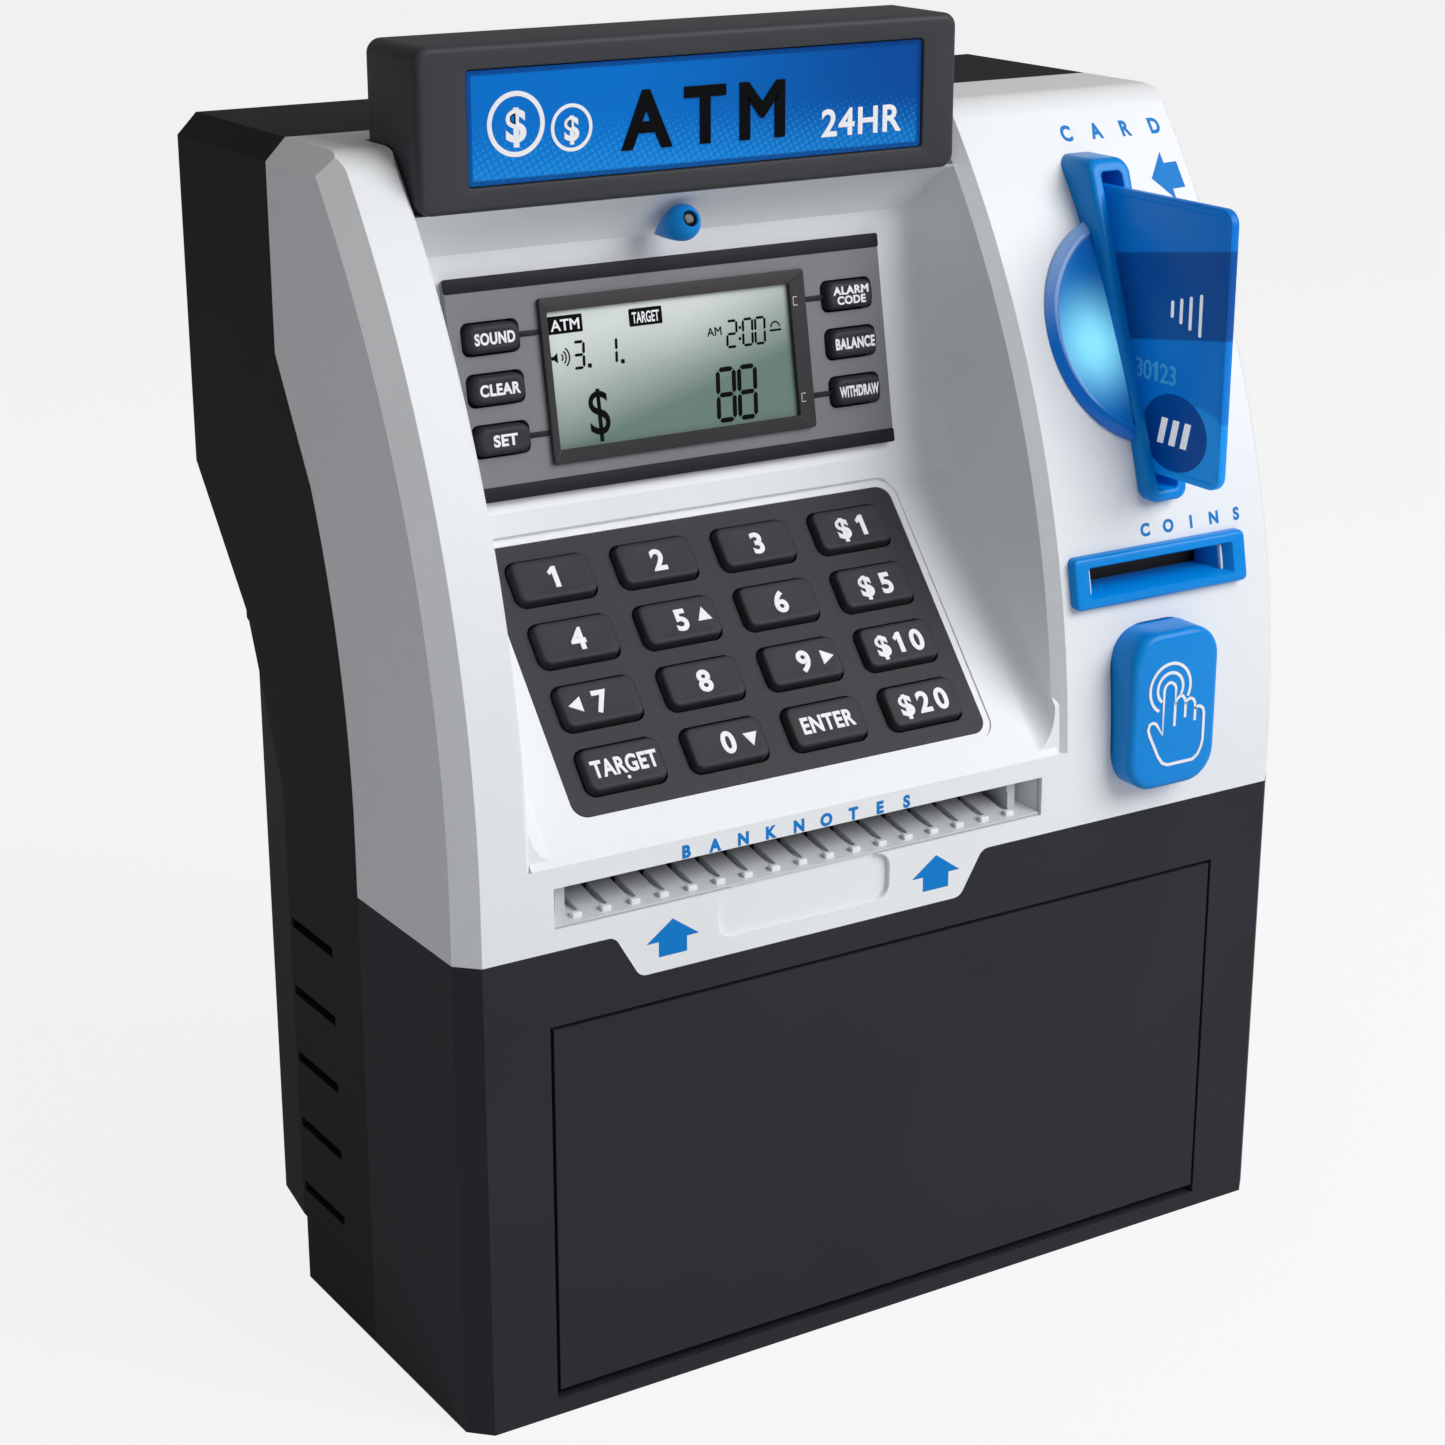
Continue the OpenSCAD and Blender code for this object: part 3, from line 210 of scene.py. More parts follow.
def ribbon(path, thick, low, high, closed=False):
    # a line of constant thickness carried along a path: at each point its corners lie half of it to
    # both sides of the mean direction of the two stretches that meet there
    path = np.asarray(path, float)
    ahead = np.roll(path, -1, 0) - path
    behind = path - np.roll(path, 1, 0)
    if not closed:
        ahead[-1], behind[0] = behind[-1], ahead[0]
    run = sum(way / np.linalg.norm(way, axis=1)[:, None] for way in (ahead, behind))
    run /= np.linalg.norm(run, axis=1)[:, None]
    side = np.stack([-run[:, 1], run[:, 0]], 1) * thick / 2
    corners = [np.column_stack([path + s * side, np.full(len(path), out)])
               for s, out in ((1, low), (-1, low), (-1, high), (1, high))]
    return loft(np.stack(corners, 1), closed)


def arcPath(across, up, radius, start, end, steps=14):
    # points of a circle between two angles in degrees
    angle = np.radians(np.linspace(start, end, steps))
    return np.stack([across + radius * np.cos(angle), up + radius * np.sin(angle)], 1)


capHeight = 0.73    # of a letter in a font of size 1
figureOne = np.array([(-0.28, 0.27), (-0.03, 0.5), (0.16, 0.5), (0.16, -0.5), (-0.08, -0.5),
                      (-0.08, 0.2), (-0.2, 0.1)])    # as shares of its height


def letters(text, height, low, high, bold=0.03, width=None, pitch=None, centre=(0.0, 0.0), spread=1.0):
    # text round centre from low up to high, either width wide or with its letters pitch apart, its
    # outline fattened by bold as a share of the font's size, its gaps wider by spread
    parts = []
    for k, word in enumerate(text if pitch else [text]):
        shift = (k - (len(text) - 1) / 2) * pitch if pitch else 0.0
        if word == "1":
            parts.append(plate(figureOne * height + (centre[0] + shift, centre[1]), low, high))
            continue
        curve = bpy.data.curves.new("letters", "FONT")
        curve.body = word
        curve.space_character = spread
        curve.extrude = 0.5
        curve.bevel_depth = bold
        curve.bevel_resolution = 0
        holder = addObject("letters", curve)
        bpy.context.view_layer.update()
        graph = bpy.context.evaluated_depsgraph_get()
        mesh = bpy.data.meshes.new_from_object(holder.evaluated_get(graph))
        bpy.data.objects.remove(holder)
        shape = bmesh.new()
        shape.from_mesh(mesh)
        bmesh.ops.remove_doubles(shape, verts=shape.verts, dist=1e-5)
        shape.to_mesh(mesh)
        shape.free()
        co = np.empty(len(mesh.vertices) * 3)
        mesh.vertices.foreach_get("co", co)
        x, y, z = co.reshape(-1, 3).T
        scale = height / capHeight
        stretch = width / (x.max() - x.min()) if width else scale
        flat = np.stack([centre[0] + shift + (x - 0.5 * (x.min() + x.max())) * stretch,
                         centre[1] + (y - capHeight / 2) * scale, np.where(z > 0, high, low)], 1)
        parts.append((flat, [list(polygon.vertices) for polygon in mesh.polygons]))
        bpy.data.meshes.remove(mesh)
    return gather(parts)


# Finishes: a graph makes nodes, and a wire is one of their sockets in a sum.

def operation(kind, flipped=False):
    # a method that adds a Math node of one kind, with its values the other way round if flipped
    def method(self, other):
        return self.graph.math(kind, other, self) if flipped else self.graph.math(kind, self, other)
    return method


class Wire:
    # adding, multiplying or raising wires and numbers makes Math nodes
    __add__ = operation("ADD")
    __radd__ = operation("ADD", True)
    __sub__ = operation("SUBTRACT")
    __rsub__ = operation("SUBTRACT", True)
    __mul__ = operation("MULTIPLY")
    __rmul__ = operation("MULTIPLY", True)
    __truediv__ = operation("DIVIDE")
    __pow__ = operation("POWER")
    __mod__ = operation("FLOORED_MODULO")
    larger = operation("MAXIMUM")
    smaller = operation("MINIMUM")

    def __init__(self, graph, socket):
        self.graph, self.socket = graph, socket

    def __abs__(self):
        return self.graph.math("ABSOLUTE", self)

    def clamped(self):
        return self.larger(0.0).smaller(1.0)

    def step(self, low, high):
        # 0 below low, 1 above high, a smooth ramp between them
        return self.graph.node("MapRange", {"interpolation_type": "SMOOTHSTEP"}, Value=self,
                               From_Min=low, From_Max=high)


class Graph:
    # the nodes of one material or of the world
    def __init__(self, tree):
        self.tree = tree

    def node(self, kind, settings=(), output=0, **sockets):
        # any node: its settings are set first, then its sockets, by name or as i and a number
        node = self.tree.nodes.new("ShaderNode" + kind)
        for key, value in dict(settings).items():
            setattr(node, key, value)
        for key, value in sockets.items():
            self.join(value, node.inputs[int(key[1:])] if key[1:].isdigit() else
                      node.inputs[key.replace("_", " ")])
        return Wire(self, node.outputs[output])

    def join(self, value, slot):
        if isinstance(value, Wire):
            self.tree.links.new(value.socket, slot)
        else:
            slot.default_value = value

    def math(self, kind, *values):
        return self.node("Math", {"operation": kind}, **{f"i{k}": v for k, v in enumerate(values)})

    def seen(self, share):
        # 1 for what the camera or clear plastic shows, share for what a glossy surface mirrors
        camera = self.node("LightPath", output="Is Camera Ray")
        through = self.node("LightPath", output="Is Transmission Ray")
        return camera.larger(through).larger(share * self.node("LightPath", output="Is Glossy Ray"))


class Finish(Graph):
    # one material of the record's slot, with the constants of its shader
    def __init__(self, name, slot, roughness, **sockets):
        self.material = bpy.data.materials.new(name)
        self.material.use_nodes = True
        self.material["slot"] = slot
        super().__init__(self.material.node_tree)
        self.shader = self.tree.nodes["Principled BSDF"]
        self.feed(Roughness=roughness, **sockets)

    def feed(self, **sockets):
        for socket, value in sockets.items():
            self.join(value, self.shader.inputs[socket.replace("_", " ")])

    def place(self):
        return self.node("TexCoord", output="Object")

    def axes(self):
        place = self.place()
        return [self.node("SeparateXYZ", output=k, Vector=place) for k in range(3)]

    def share(self, node):
        # 0 to 1 across, back and up inside a node's box
        low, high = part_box(node)
        return [((wire - low[k]) / (high[k] - low[k])).clamped() for k, wire in enumerate(self.axes())]

    def noise(self, size, detail=2.0, stretch=None):
        # size is the width of one speck, in metres
        vector = self.place()
        if stretch:
            vector = self.node("Mapping", Vector=vector, Scale=stretch)
        return self.node("TexNoise", Vector=vector, Scale=1.0 / size, Detail=detail)

    def blend(self, share, first, second):
        return self.node("Mix", {"data_type": "RGBA"}, output=2, i0=share, i6=first, i7=second)

    def bump(self, height, strength, distance):
        self.feed(Normal=self.node("Bump", Height=height, Strength=strength, Distance=distance))


def colour(*levels):
    # an 8 bit display colour as linear light
    return (*(((c / 255 + 0.055) / 1.055) ** 2.4 if c > 10 else c / 255 / 12.92 for c in levels), 1.0)


def shade(tone, factor):
    # a colour made darker or lighter
    return (*(min(1.0, c * factor) for c in tone[:3]), 1.0)


def moulded(name, slot, tone, roughness, relief, cloud=0.06, gloss=0.3, grain=0.5 * mm):
    # moulded plastic: a fine spark eroded grain as strong as relief, slow changes of tone and gloss
    tone = colour(*tone)
    finish = Finish(name, slot, roughness, Specular_IOR_Level=gloss)
    slow = finish.noise(42 * mm, 3.0)
    fine = finish.noise(grain, 2.0)
    mixed = finish.blend(slow.step(0.3, 0.7), shade(tone, 1 - cloud), shade(tone, 1 + cloud))
    finish.feed(Base_Color=mixed, Roughness=roughness + 0.1 * (slow - 0.5) + 0.06 * (fine - 0.5))
    finish.bump(fine, relief, 0.1 * mm)
    return finish.material


def metal(name, slot, tone, roughness, along):
    # drawn metal: long fine scratches along one axis change its tone and gloss
    tone = colour(*tone)
    finish = Finish(name, slot, roughness, Metallic=1.0)
    lines = finish.noise(0.6 * mm, 3.0, stretch=along)
    finish.feed(Base_Color=finish.blend(lines.step(0.3, 0.7), shade(tone, 0.86), tone),
                Roughness=roughness + 0.18 * (lines - 0.5))
    finish.bump(lines, 0.08, 0.05 * mm)
    return finish.material


def boardFinish():
    # circuit board: lacquered green with paler tracks on a grid
    finish = Finish("boardGreen", "circuit_board", 0.3, Coat_Weight=0.4)
    x = finish.axes()[0]
    track = abs(x / (2.4 * mm) % 1.0 - 0.5).step(0.36, 0.42)
    wander = finish.noise(9 * mm, 1.0).step(0.47, 0.5)
    finish.feed(Base_Color=finish.blend(track * wander, colour(22, 92, 48), colour(64, 140, 84)))
    finish.bump(track, 0.2, 0.05 * mm)
    return finish.material


# name, slot, colour, roughness, relief, cloud, gloss
darkCase = moulded("darkCase", "dark_case", (48, 49, 54), 0.5, 0.1, gloss=0.07)
rearCase = moulded("rearCase", "dark_case", (37, 36, 38), 0.52, 0.12, gloss=0.06)
whiteCase = moulded("whiteCase", "white_case", (232, 234, 236), 0.4, 0.05, 0.012)
blueTrim = moulded("blueTrim", "blue_trim", (0, 134, 218), 0.3, 0.01, 0.015, 0.2)
signCase = moulded("signCase", "dark_case", (60, 61, 65), 0.42, 0.05, gloss=0.14)
keyRubber = moulded("keyRubber", "dark_rubber", (48, 47, 52), 0.48, 0.09, gloss=0.18, grain=0.3 * mm)
matRubber = moulded("matRubber", "dark_rubber", (53, 52, 57), 0.52, 0.09, gloss=0.2, grain=0.3 * mm)
greyPanel = moulded("greyPanel", "panel_grey", (120, 121, 125), 0.42, 0.05, 0.05)
stripDark = moulded("stripDark", "dark_frame", (34, 33, 38), 0.45, 0.03, gloss=0.12)
frameGloss = moulded("frameGloss", "dark_frame", (54, 52, 54), 0.4, 0.03, gloss=0.15)
guideGrey = moulded("guideGrey", "guide_plastic", (206, 208, 212), 0.42, 0.05, 0.02)
innerDark = moulded("innerDark", "inner_plastic", (36, 36, 40), 0.5, 0.1)
gearWhite = moulded("gearWhite", "gear_plastic", (225, 225, 218), 0.35, 0.03)
coneDark = moulded("coneDark", "speaker_cone", (32, 32, 35), 0.7, 0.3, grain=1.2 * mm)
legendInk = moulded("legendInk", "white_case", (236, 237, 240), 0.5, 0.02, 0.01)
blueInk = moulded("blueInk", "blue_trim", (0, 122, 202), 0.5, 0.02, 0.03, 0.15)
blackInk = moulded("blackInk", "dark_frame", (7, 8, 10), 0.6, 0.02, gloss=0.05)
lensBlack = moulded("lensBlack", "dark_frame", (8, 8, 10), 0.2, 0.0, gloss=0.4)
cellSleeve = moulded("cellSleeve", "cell_sleeve", (38, 40, 52), 0.3, 0.02)
steel = metal("steel", "steel", (190, 190, 194), 0.28, (0.08, 1, 1))
steelDark = metal("steelDark", "brass_gate", (58, 54, 48), 0.4, (0.1, 1, 1))
boardGreen = boardFinish()
print("plain finishes made")

nodeFinish = {
    darkCase: ["lower_shell", "door"],
    rearCase: ["rear_shell", "battery_cover"],
    whiteCase: ["upper_shell"],
    signCase: ["header_box"],
    blueTrim: ["camera_eye", "card_bezel", "coin_bezel", "touch_button"],
    lensBlack: ["camera_lens"],
    greyPanel: ["display_panel"],
    frameGloss: ["lcd_frame"],
    boardGreen: ["main_board", "keypad_board", "button_switch", "card_led"],
    matRubber: ["keypad_mat"],
    keyRubber: ["feed_roller", "pinch_roller"],
    innerDark: ["coin_chute", "vault_bin"],
    coneDark: ["speaker"],
    guideGrey: ["note_guide"],
    gearWhite: ["drive_gear", "motor_pinion"],
    steel: ["feed_motor", "door_pins", "latch_solenoid", "latch_bolt", "battery_contacts",
            "case_screws"],
    steelDark: ["coin_gate"],
    cellSleeve: ["batteries"],
}


def dress(finish, *names):
    for name in names:
        nodes[name].data.materials.clear()
        nodes[name].data.materials.append(finish)


for nodeMaterial, dressedNodes in nodeFinish.items():
    dress(nodeMaterial, *dressedNodes)

# The sign box and its printed panel.

sign = {"lip": ((0.5, 0), (0.12, -0.12), (0, -0.5), (0, -1.5)), "left": colour(0, 112, 202),
        "right": colour(0, 74, 154), "low": colour(8, 136, 222), "dots": colour(60, 160, 232),
        "border": colour(0, 56, 128), **metres(
            round=2.7, ease=1.3, window=(97.4, 20.4, 0.8), windowShift=1, dotPitch=1.25,
            inkBack=-0.2, inkFront=0.06)}
signText = {
    "big": {"text": "ATM", "bold": 0.028,
            **metres(height=10.4, high=0.25, pitch=12.4, centre=(-21.5, -0.4))},
    "small": {"text": "24HR", "bold": 0.022, "spread": 1.1,
              **metres(height=5.1, high=0.06, width=18.2, centre=(13.2, -4.1))}}
signCoins = ((-60.6, 0.3, 5.3), (-49.4, -1.1, 3.9))    # across, up, radius


def mouthSizes(width, height, radius, steps):
    # rings of an opening that is wider by grow on each side at the height out, both in millimetres
    return [(width + 2 * grow * mm, height + 2 * grow * mm, radius + grow * mm, out * mm)
            for grow, out in steps]


def makeSignBox():
    # round cornered rings carried from the back, over an eased front edge, into the window
    wide, deep, tall = sizeOf("header_box")
    rear = easedEdge(wide, tall, sign["round"], 0, sign["round"], 7)
    sizes = [(w, h, r, -deep - out) for w, h, r, out in rear[::-1]]
    sizes += easedEdge(wide, tall, sign["round"], 0, sign["ease"], 7)
    rings = [roundLoop(*size, 8) for size in sizes]
    rings += [roundLoop(*size, 8, sign["windowShift"])
              for size in mouthSizes(*sign["window"], sign["lip"])]
    x, z = middleOf("header_box")[::2]
    place = facing(x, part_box("header_box")[0].y, z)
    makePiece("sign_case", loft(rings), place, signCase, replaces=["header_box"])


def signFinish():
    # blue that darkens to the right and lightens downwards, under a grid of round dots that shrink
    # upwards, with a darker line along its border
    finish = Finish("signBlue", "sign_face", 0.24, Coat_Weight=0.05, Specular_IOR_Level=0.12)
    x, z = finish.axes()[::2]
    along, height = finish.share("header_panel")[::2]
    base = finish.blend(along.step(0.25, 1.0), sign["left"], sign["right"])
    base = finish.blend(0.55 * (1 - height.step(0.0, 0.55)), base, sign["low"])
    across = (x + 0.5 * z) / sign["dotPitch"] % 1.0 - 0.5
    up = (z - 0.5 * x) / sign["dotPitch"] % 1.0 - 0.5
    size = 0.42 * (1 - height.step(0.0, 0.75)) + 0.1 * (finish.noise(30 * mm, 1.0) - 0.5)
    dots = 1 - ((across * across + up * up) ** 0.5 - size).step(-0.05, 0.05)
    base = finish.blend(0.3 * dots, base, sign["dots"])
    midX, midZ = middleOf("header_panel")[::2]
    wide, tall = sizeOf("header_panel")[::2]
    rim = (abs(x - midX) - 0.5 * wide).larger(abs(z - midZ) - 0.5 * tall)
    base = finish.blend(0.75 * rim.step(-1.1 * mm, -0.7 * mm), base, sign["border"])
    finish.feed(Base_Color=base, Roughness=0.22 + 0.06 * finish.noise(20 * mm))
    return finish.material


def makeSignCoins():
    # plain coins: a ring and a currency sign each
    low, high = sign["inkBack"], sign["inkFront"]
    ink = []
    for across, up, radius in signCoins:
        ring = arcPath(across * mm, up * mm, radius * mm, 0, 352.5, 48)
        ink.append(ribbon(ring, 0.17 * radius * mm, low, high, closed=True))
        ink.append(letters("$", 1.1 * radius * mm, low, high, centre=(across * mm, up * mm)))
    makeInk("sign_coins", ink, onSign, legendInk)


makeSignBox()
dress(signFinish(), "header_panel")
onSign = facing(0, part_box("header_panel")[0].y, middleOf("header_panel")[2])
for size, signInk in (("big", blackInk), ("small", legendInk)):
    makeInk("sign_" + size, [letters(low=sign["inkBack"], **signText[size])], onSign, signInk)
makeSignCoins()
print("sign made")

# The camera eye: an egg that leans out of the overhang, with a dark lens in its round end.

eye = {"tilt": 68, "taper": 1.3, "lean": 0.2, **metres(
    x=-23.3, y=-9.4, z=214.8, radius=3.45, length=11.4, widest=3.3, hole=1.55, edge=0.15,
    edgeDeep=0.12, holeDeep=2.4, lensFoot=2.2, lensDeep=0.9, bulge=0.45)}


def ringAt(radius, out, across=0.0, count=48):
    angle = np.linspace(0, 2 * math.pi, count, endpoint=False)
    return np.stack([across + radius * np.cos(angle), radius * np.sin(angle), np.full(count, out)], 1)


def makeEye():
    # rings along the axis: from the tip, which leans to the left, the radius grows as 1 less a power
    # of the way back to the tip; ahead of the widest ring it falls as a quarter ellipse to the hole
    radius, widest, hole = eye["radius"], eye["widest"], eye["hole"]
    place = tilted(eye["x"], eye["y"], eye["z"], eye["tilt"])
    profile = [(radius * (1 - way ** eye["taper"]), -widest - way * (eye["length"] - widest))
               for way in np.linspace(0.97, 0, 12)]
    reach = math.acos((hole + eye["edge"]) / radius)
    profile += [(radius * math.cos(t), widest * (math.sin(t) / math.sin(reach) - 1))
                for t in np.linspace(0, reach, 10)[1:]]
    profile += [(hole, -eye["edgeDeep"]), (hole, -eye["holeDeep"])]
    rings = [ringAt(r, out, eye["lean"] * min(0, out + widest)) for r, out in profile]
    makePiece("eye_surround", loft(rings), place, blueTrim, replaces=["camera_eye"])
    bulge = [(hole * math.cos(t), eye["bulge"] * math.sin(t) - eye["lensDeep"])
             for t in np.linspace(0, 1.5, 6)]
    rings = [ringAt(r, out) for r, out in [(hole, -eye["lensFoot"])] + bulge]
    makePiece("eye_lens", loft(rings), place, lensBlack, replaces=["camera_lens"])


makeEye()
print("camera eye made")

# The keys of the keypad.

keyCap = metres(
    width=17, height=9, corner=1.6, top=1.25, foot=-2.4, fillet=0.5, taper=0.4, hollow=0.12,
    acrossPitch=22.2, upPitch=12.73, middleUp=35.3, digit=4.3, word=3.3, markReach=1.8, markAway=5.0,
    dot=0.35, dotDown=2.7)
keyRows = [
    {"key_target": "TARGET", "key_0": "0", "key_enter": "ENTER", "key_amount_20": "$20"},
    {"key_7": "7", "key_8": "8", "key_9": "9", "key_amount_10": "$10"},
    {"key_4": "4", "key_5": "5", "key_6": "6", "key_amount_5": "$5"},
    {"key_1": "1", "key_2": "2", "key_3": "3", "key_amount_1": "$1"},
]
wordWidth = metres(TARGET=13.8, ENTER=11.8)
figurePitch = {"$20": 4.1 * mm, "$10": 4.0 * mm, "$5": 4.7 * mm, "$1": 4.5 * mm, "1": 3 * mm}
keyMarks = {"key_0": (-90, 1), "key_5": (90, 1), "key_9": (0, 1), "key_7": (180, -1)}   # turn, side


def capRings(cap, middle):
    # side walls that lean in a little, an eased edge, then a slightly hollow top
    wide, tall, corner, lean = cap["width"], cap["height"], cap["corner"], cap["taper"]
    sizes = [(wide, tall, corner, cap["foot"])]
    sizes += [(w - 2 * lean, h - 2 * lean, r, out)
              for w, h, r, out in easedEdge(wide, tall, corner, cap["top"], cap["fillet"])]
    w, h, r = sizes[-1][:3]
    sizes += [(w * k, h * k, r * k, cap["top"] - cap["hollow"] * (1 - k * k)) for k in (0.8, 0.5, 0.15)]
    return [roundLoop(*size, across=middle[0], up=middle[1]) for size in sizes]


def capInk(cap):
    # back and front of the print on a key's top
    return cap["top"] - 0.25 * mm, cap["top"] + 0.05 * mm


def makeKey(key, cap, middle, place, ink):
    makePiece("cap_" + key, loft(capRings(cap, middle)), place, keyRubber, key, [key])
    makeInk("legend_" + key, ink, place, legendInk, key)


def triangleMark(across, up, reach, turn):
    # a triangle whose tip points along turn, in degrees
    angle = np.radians(turn + np.array([0, 122, -122]))
    return np.stack([across + reach * np.cos(angle), up + reach * np.sin(angle)], 1)


def makeKeys():
    low, high = capInk(keyCap)
    for row, keys in enumerate(keyRows):
        for column, (key, legend) in enumerate(keys.items()):
            across = (column - 1.5) * keyCap["acrossPitch"]
            up = keyCap["middleUp"] + (row - 1.5) * keyCap["upPitch"]
            tall = keyCap["word"] if legend in wordWidth else keyCap["digit"]
            ink = [letters(legend, tall, low, high, bold=0.034, width=wordWidth.get(legend),
                           pitch=figurePitch.get(legend), centre=(across, up), spread=1.08)]
            if key in keyMarks:
                turn, side = keyMarks[key]
                mark = triangleMark(across + side * keyCap["markAway"], up, keyCap["markReach"], turn)
                ink.append(plate(mark, low, high))
            if key == "key_target":
                dot = arcPath(across, up - keyCap["dotDown"], keyCap["dot"], 0, 330, 12)
                ink.append(plate(dot, low, high))
            makeKey(key, keyCap, (across, up), onKeypad, ink)


makeKeys()
print("keypad keys made")

# The display: panel strips, the keys beside the screen and the bars that lead to them.

sideCap = metres(
    width=11.4, height=5.9, corner=1.9, top=3.6, foot=-0.2, fillet=0.9, taper=0.35, hollow=0.12,
    across=39.2, upPitch=9.3, lineUp=0.95, letterWide=1.66, lineWide=9.2,
    letterTall=(2.1, 1.55))    # for one line and for two
sideKeys = {"key_sound": (-1, 1, "SOUND"), "key_clear": (-1, 0, "CLEAR"), "key_set": (-1, -1, "SET"),
            "key_alarm": (1, 1, "ALARM CODE"), "key_balance": (1, 0, "BALANCE"),
            "key_withdraw": (1, -1, "WITHDRAW")}    # side, row, words
panel = {"hook": ((0.9, 0.8), (0, 0.8), (0, -0.8), (0.9, -0.8)), **metres(
    top=1.8, tall=41, sunk=0.3, strip=2.7, stripHigh=0.12, bar=1.0, barHigh=0.3, frameOut=2.8,
    frameTall=30.6, frameRound=0.6, opening=(53.2, 25.4), openLeft=1.0, hookIn=2.9, hookLine=0.16)}


def makeSideKeys():
    low, high = capInk(sideCap)
    for key, (side, row, words) in sideKeys.items():
        across = side * sideCap["across"]
        up = row * sideCap["upPitch"]
        lines = words.split()
        tall = sideCap["letterTall"][len(lines) - 1]
        ink = []
        for k, line in enumerate(lines):
            lift = sideCap["lineUp"] * (1 - 2 * k) * (len(lines) - 1)
            wide = min(sideCap["lineWide"], sideCap["letterWide"] * len(line))
            ink.append(letters(line, tall, low, high, bold=0.036, width=wide,
                               centre=(across, up + lift), spread=1.08))
        makeKey(key, sideCap, (across, up), onScreen, ink)


def makePanelTrim():
    out, face = panel["top"], panel["frameOut"]
    foot = out - panel["sunk"]
    wide = sizeOf("display_panel")[0] + 0.4 * mm
    strips = [softPad(wide, panel["strip"], 0.5 * mm, foot, out + panel["stripHigh"], 0.06 * mm,
                      up=side * (panel["tall"] - panel["strip"]) / 2) for side in (-1, 1)]
    makePiece("panel_strips", gather(strips), onScreen, stripDark)
    keyEdge = sideCap["across"] - sideCap["width"] / 2
    frameEdge = 0.5 * sizeOf("lcd_frame")[0]
    rows = (-sideCap["upPitch"], sideCap["upPitch"])
    wide = keyEdge - frameEdge + 1.6 * mm
    bars = [softPad(wide, panel["bar"], 0.2 * mm, foot, out + panel["barHigh"], 0.12 * mm,
                    side * (keyEdge + frameEdge) / 2, up) for side in (-1, 1) for up in rows]
    makePiece("panel_bars", gather(bars), onScreen, stripDark)
    hooks = [ribbon(np.array(panel["hook"]) * mm + (frameEdge - panel["hookIn"], up),
                    panel["hookLine"], face - 0.1 * mm, face + 0.04 * mm) for up in rows]
    makeInk("frame_marks", hooks, onScreen, guideGrey)


def makeScreenFrame():
    # closed rings: foot, wall, eased edge, face, and down the wall of an opening left of the middle
    wide, tall, corner = sizeOf("lcd_frame")[0], panel["frameTall"], panel["frameRound"]
    low, high = panel["top"], panel["frameOut"]
    sizes = [(wide, tall, corner, low)] + easedEdge(wide, tall, corner, high, 0.14 * mm)
    rings = [roundLoop(*size, 6) for size in sizes]
    openWide, openTall = panel["opening"]
    for grow, out in ((0.2 * mm, high), (0, high - 0.1 * mm), (0, low)):
        rings.append(roundLoop(openWide + grow, openTall + grow, 0.3 * mm, out, 6, -panel["openLeft"]))
    makePiece("screen_frame", loft(rings, loop=True), onScreen, frameGloss, replaces=["lcd_frame"])


makeSideKeys()
makePanelTrim()
makeScreenFrame()
print("display trim made")

# The screen and what it shows, in millimetres from its middle.

screen = {"lean": 0.07, "gap": 0.4, **metres(back=1.7, front=1.83, line=0.3)}
# gap is what stays free at each end of a digit's bar, as a share of half its thickness
segmentOf = {"1": "bc", "2": "abged", "3": "abgcd", "0": "abcdef", "8": "abcdefg"}
shownDigits = [("8", 9.8, -6.8, 9.6, 3.6, 0.92), ("8", 14.6, -6.8, 9.6, 3.6, 0.92),
               ("3", -21.3, 4.2, 4.8, 2.1, 0.55), ("1", -14.3, 4.2, 4.8, 2.1, 0.55),
               ("2", 12.3, 4.5, 4.9, 2.1, 0.5), ("0", 15.9, 4.5, 4.9, 2.1, 0.5),
               ("0", 18.7, 4.5, 4.9, 2.1, 0.5)]    # across, up, height, width, thickness
shownDots = [(-19.2, 2.0, 0.8), (-12.1, 2.0, 0.8), (14.0, 3.4, 0.55), (14.2, 5.5, 0.55)]
shownBoxes = {"ATM": (-23.6, 10.1, 7.4), "TARGET": (-6.3, 9.8, 7.2)}    # across, up, width
shownText = {"$": (-18.2, -6.4, 8.8, 4.3 * mm, 0.004), "AM": (8.4, 5.4, 1.7, None, 0.012)}
horn = [(-27.2, 4.45), (-26.6, 4.45), (-25.8, 5.1), (-25.8, 3.1), (-26.6, 3.75), (-27.2, 3.75)]
bellFoot = [(20.9, 4.0), (23.5, 4.0), (23.5, 4.4), (20.9, 4.4)]
# across, up, radius, first and last angle, steps
shownArcs = [(-25.5, 4.1, 0.8, -48, 48, 8), (-25.5, 4.1, 1.5, -48, 48, 8),
             (-25.5, 4.1, 2.2, -48, 48, 8), (22.2, 4.8, 1.0, 0, 180, 9)]


def screenFinish():
    # liquid crystal: grey green, with a painted reflection that makes it paler in a band that falls
    # from its upper left, over a faint grid
    finish = Finish("screenGlass", "screen", 0.2, Coat_Weight=0.25, Specular_IOR_Level=0.25)
    x = finish.axes()[0]
    along, height = finish.share("lcd_module")[::2]
    # painted sheen and painted glare: reflected light painted into the base colour
    paintedSheen = (1.4 * height + 0.75 * (1 - along) - 0.75).clamped()
    paintedGlare = (1 - abs(along - 0.42 - 0.35 * (height - 0.5)) * 2.6).clamped() * height.step(0.45, 1.0)
    base = finish.blend(paintedSheen, colour(108, 131, 120), colour(214, 222, 217))
    base = finish.blend(0.5 * paintedGlare, base, colour(232, 236, 232))
    cells = abs(x / (0.55 * mm) % 1.0 - 0.5).step(0.44, 0.5)
    finish.feed(Base_Color=finish.blend(0.05 * cells, base, colour(60, 70, 62)),
                Roughness=0.16 + 0.05 * finish.noise(15 * mm))
    return finish.material


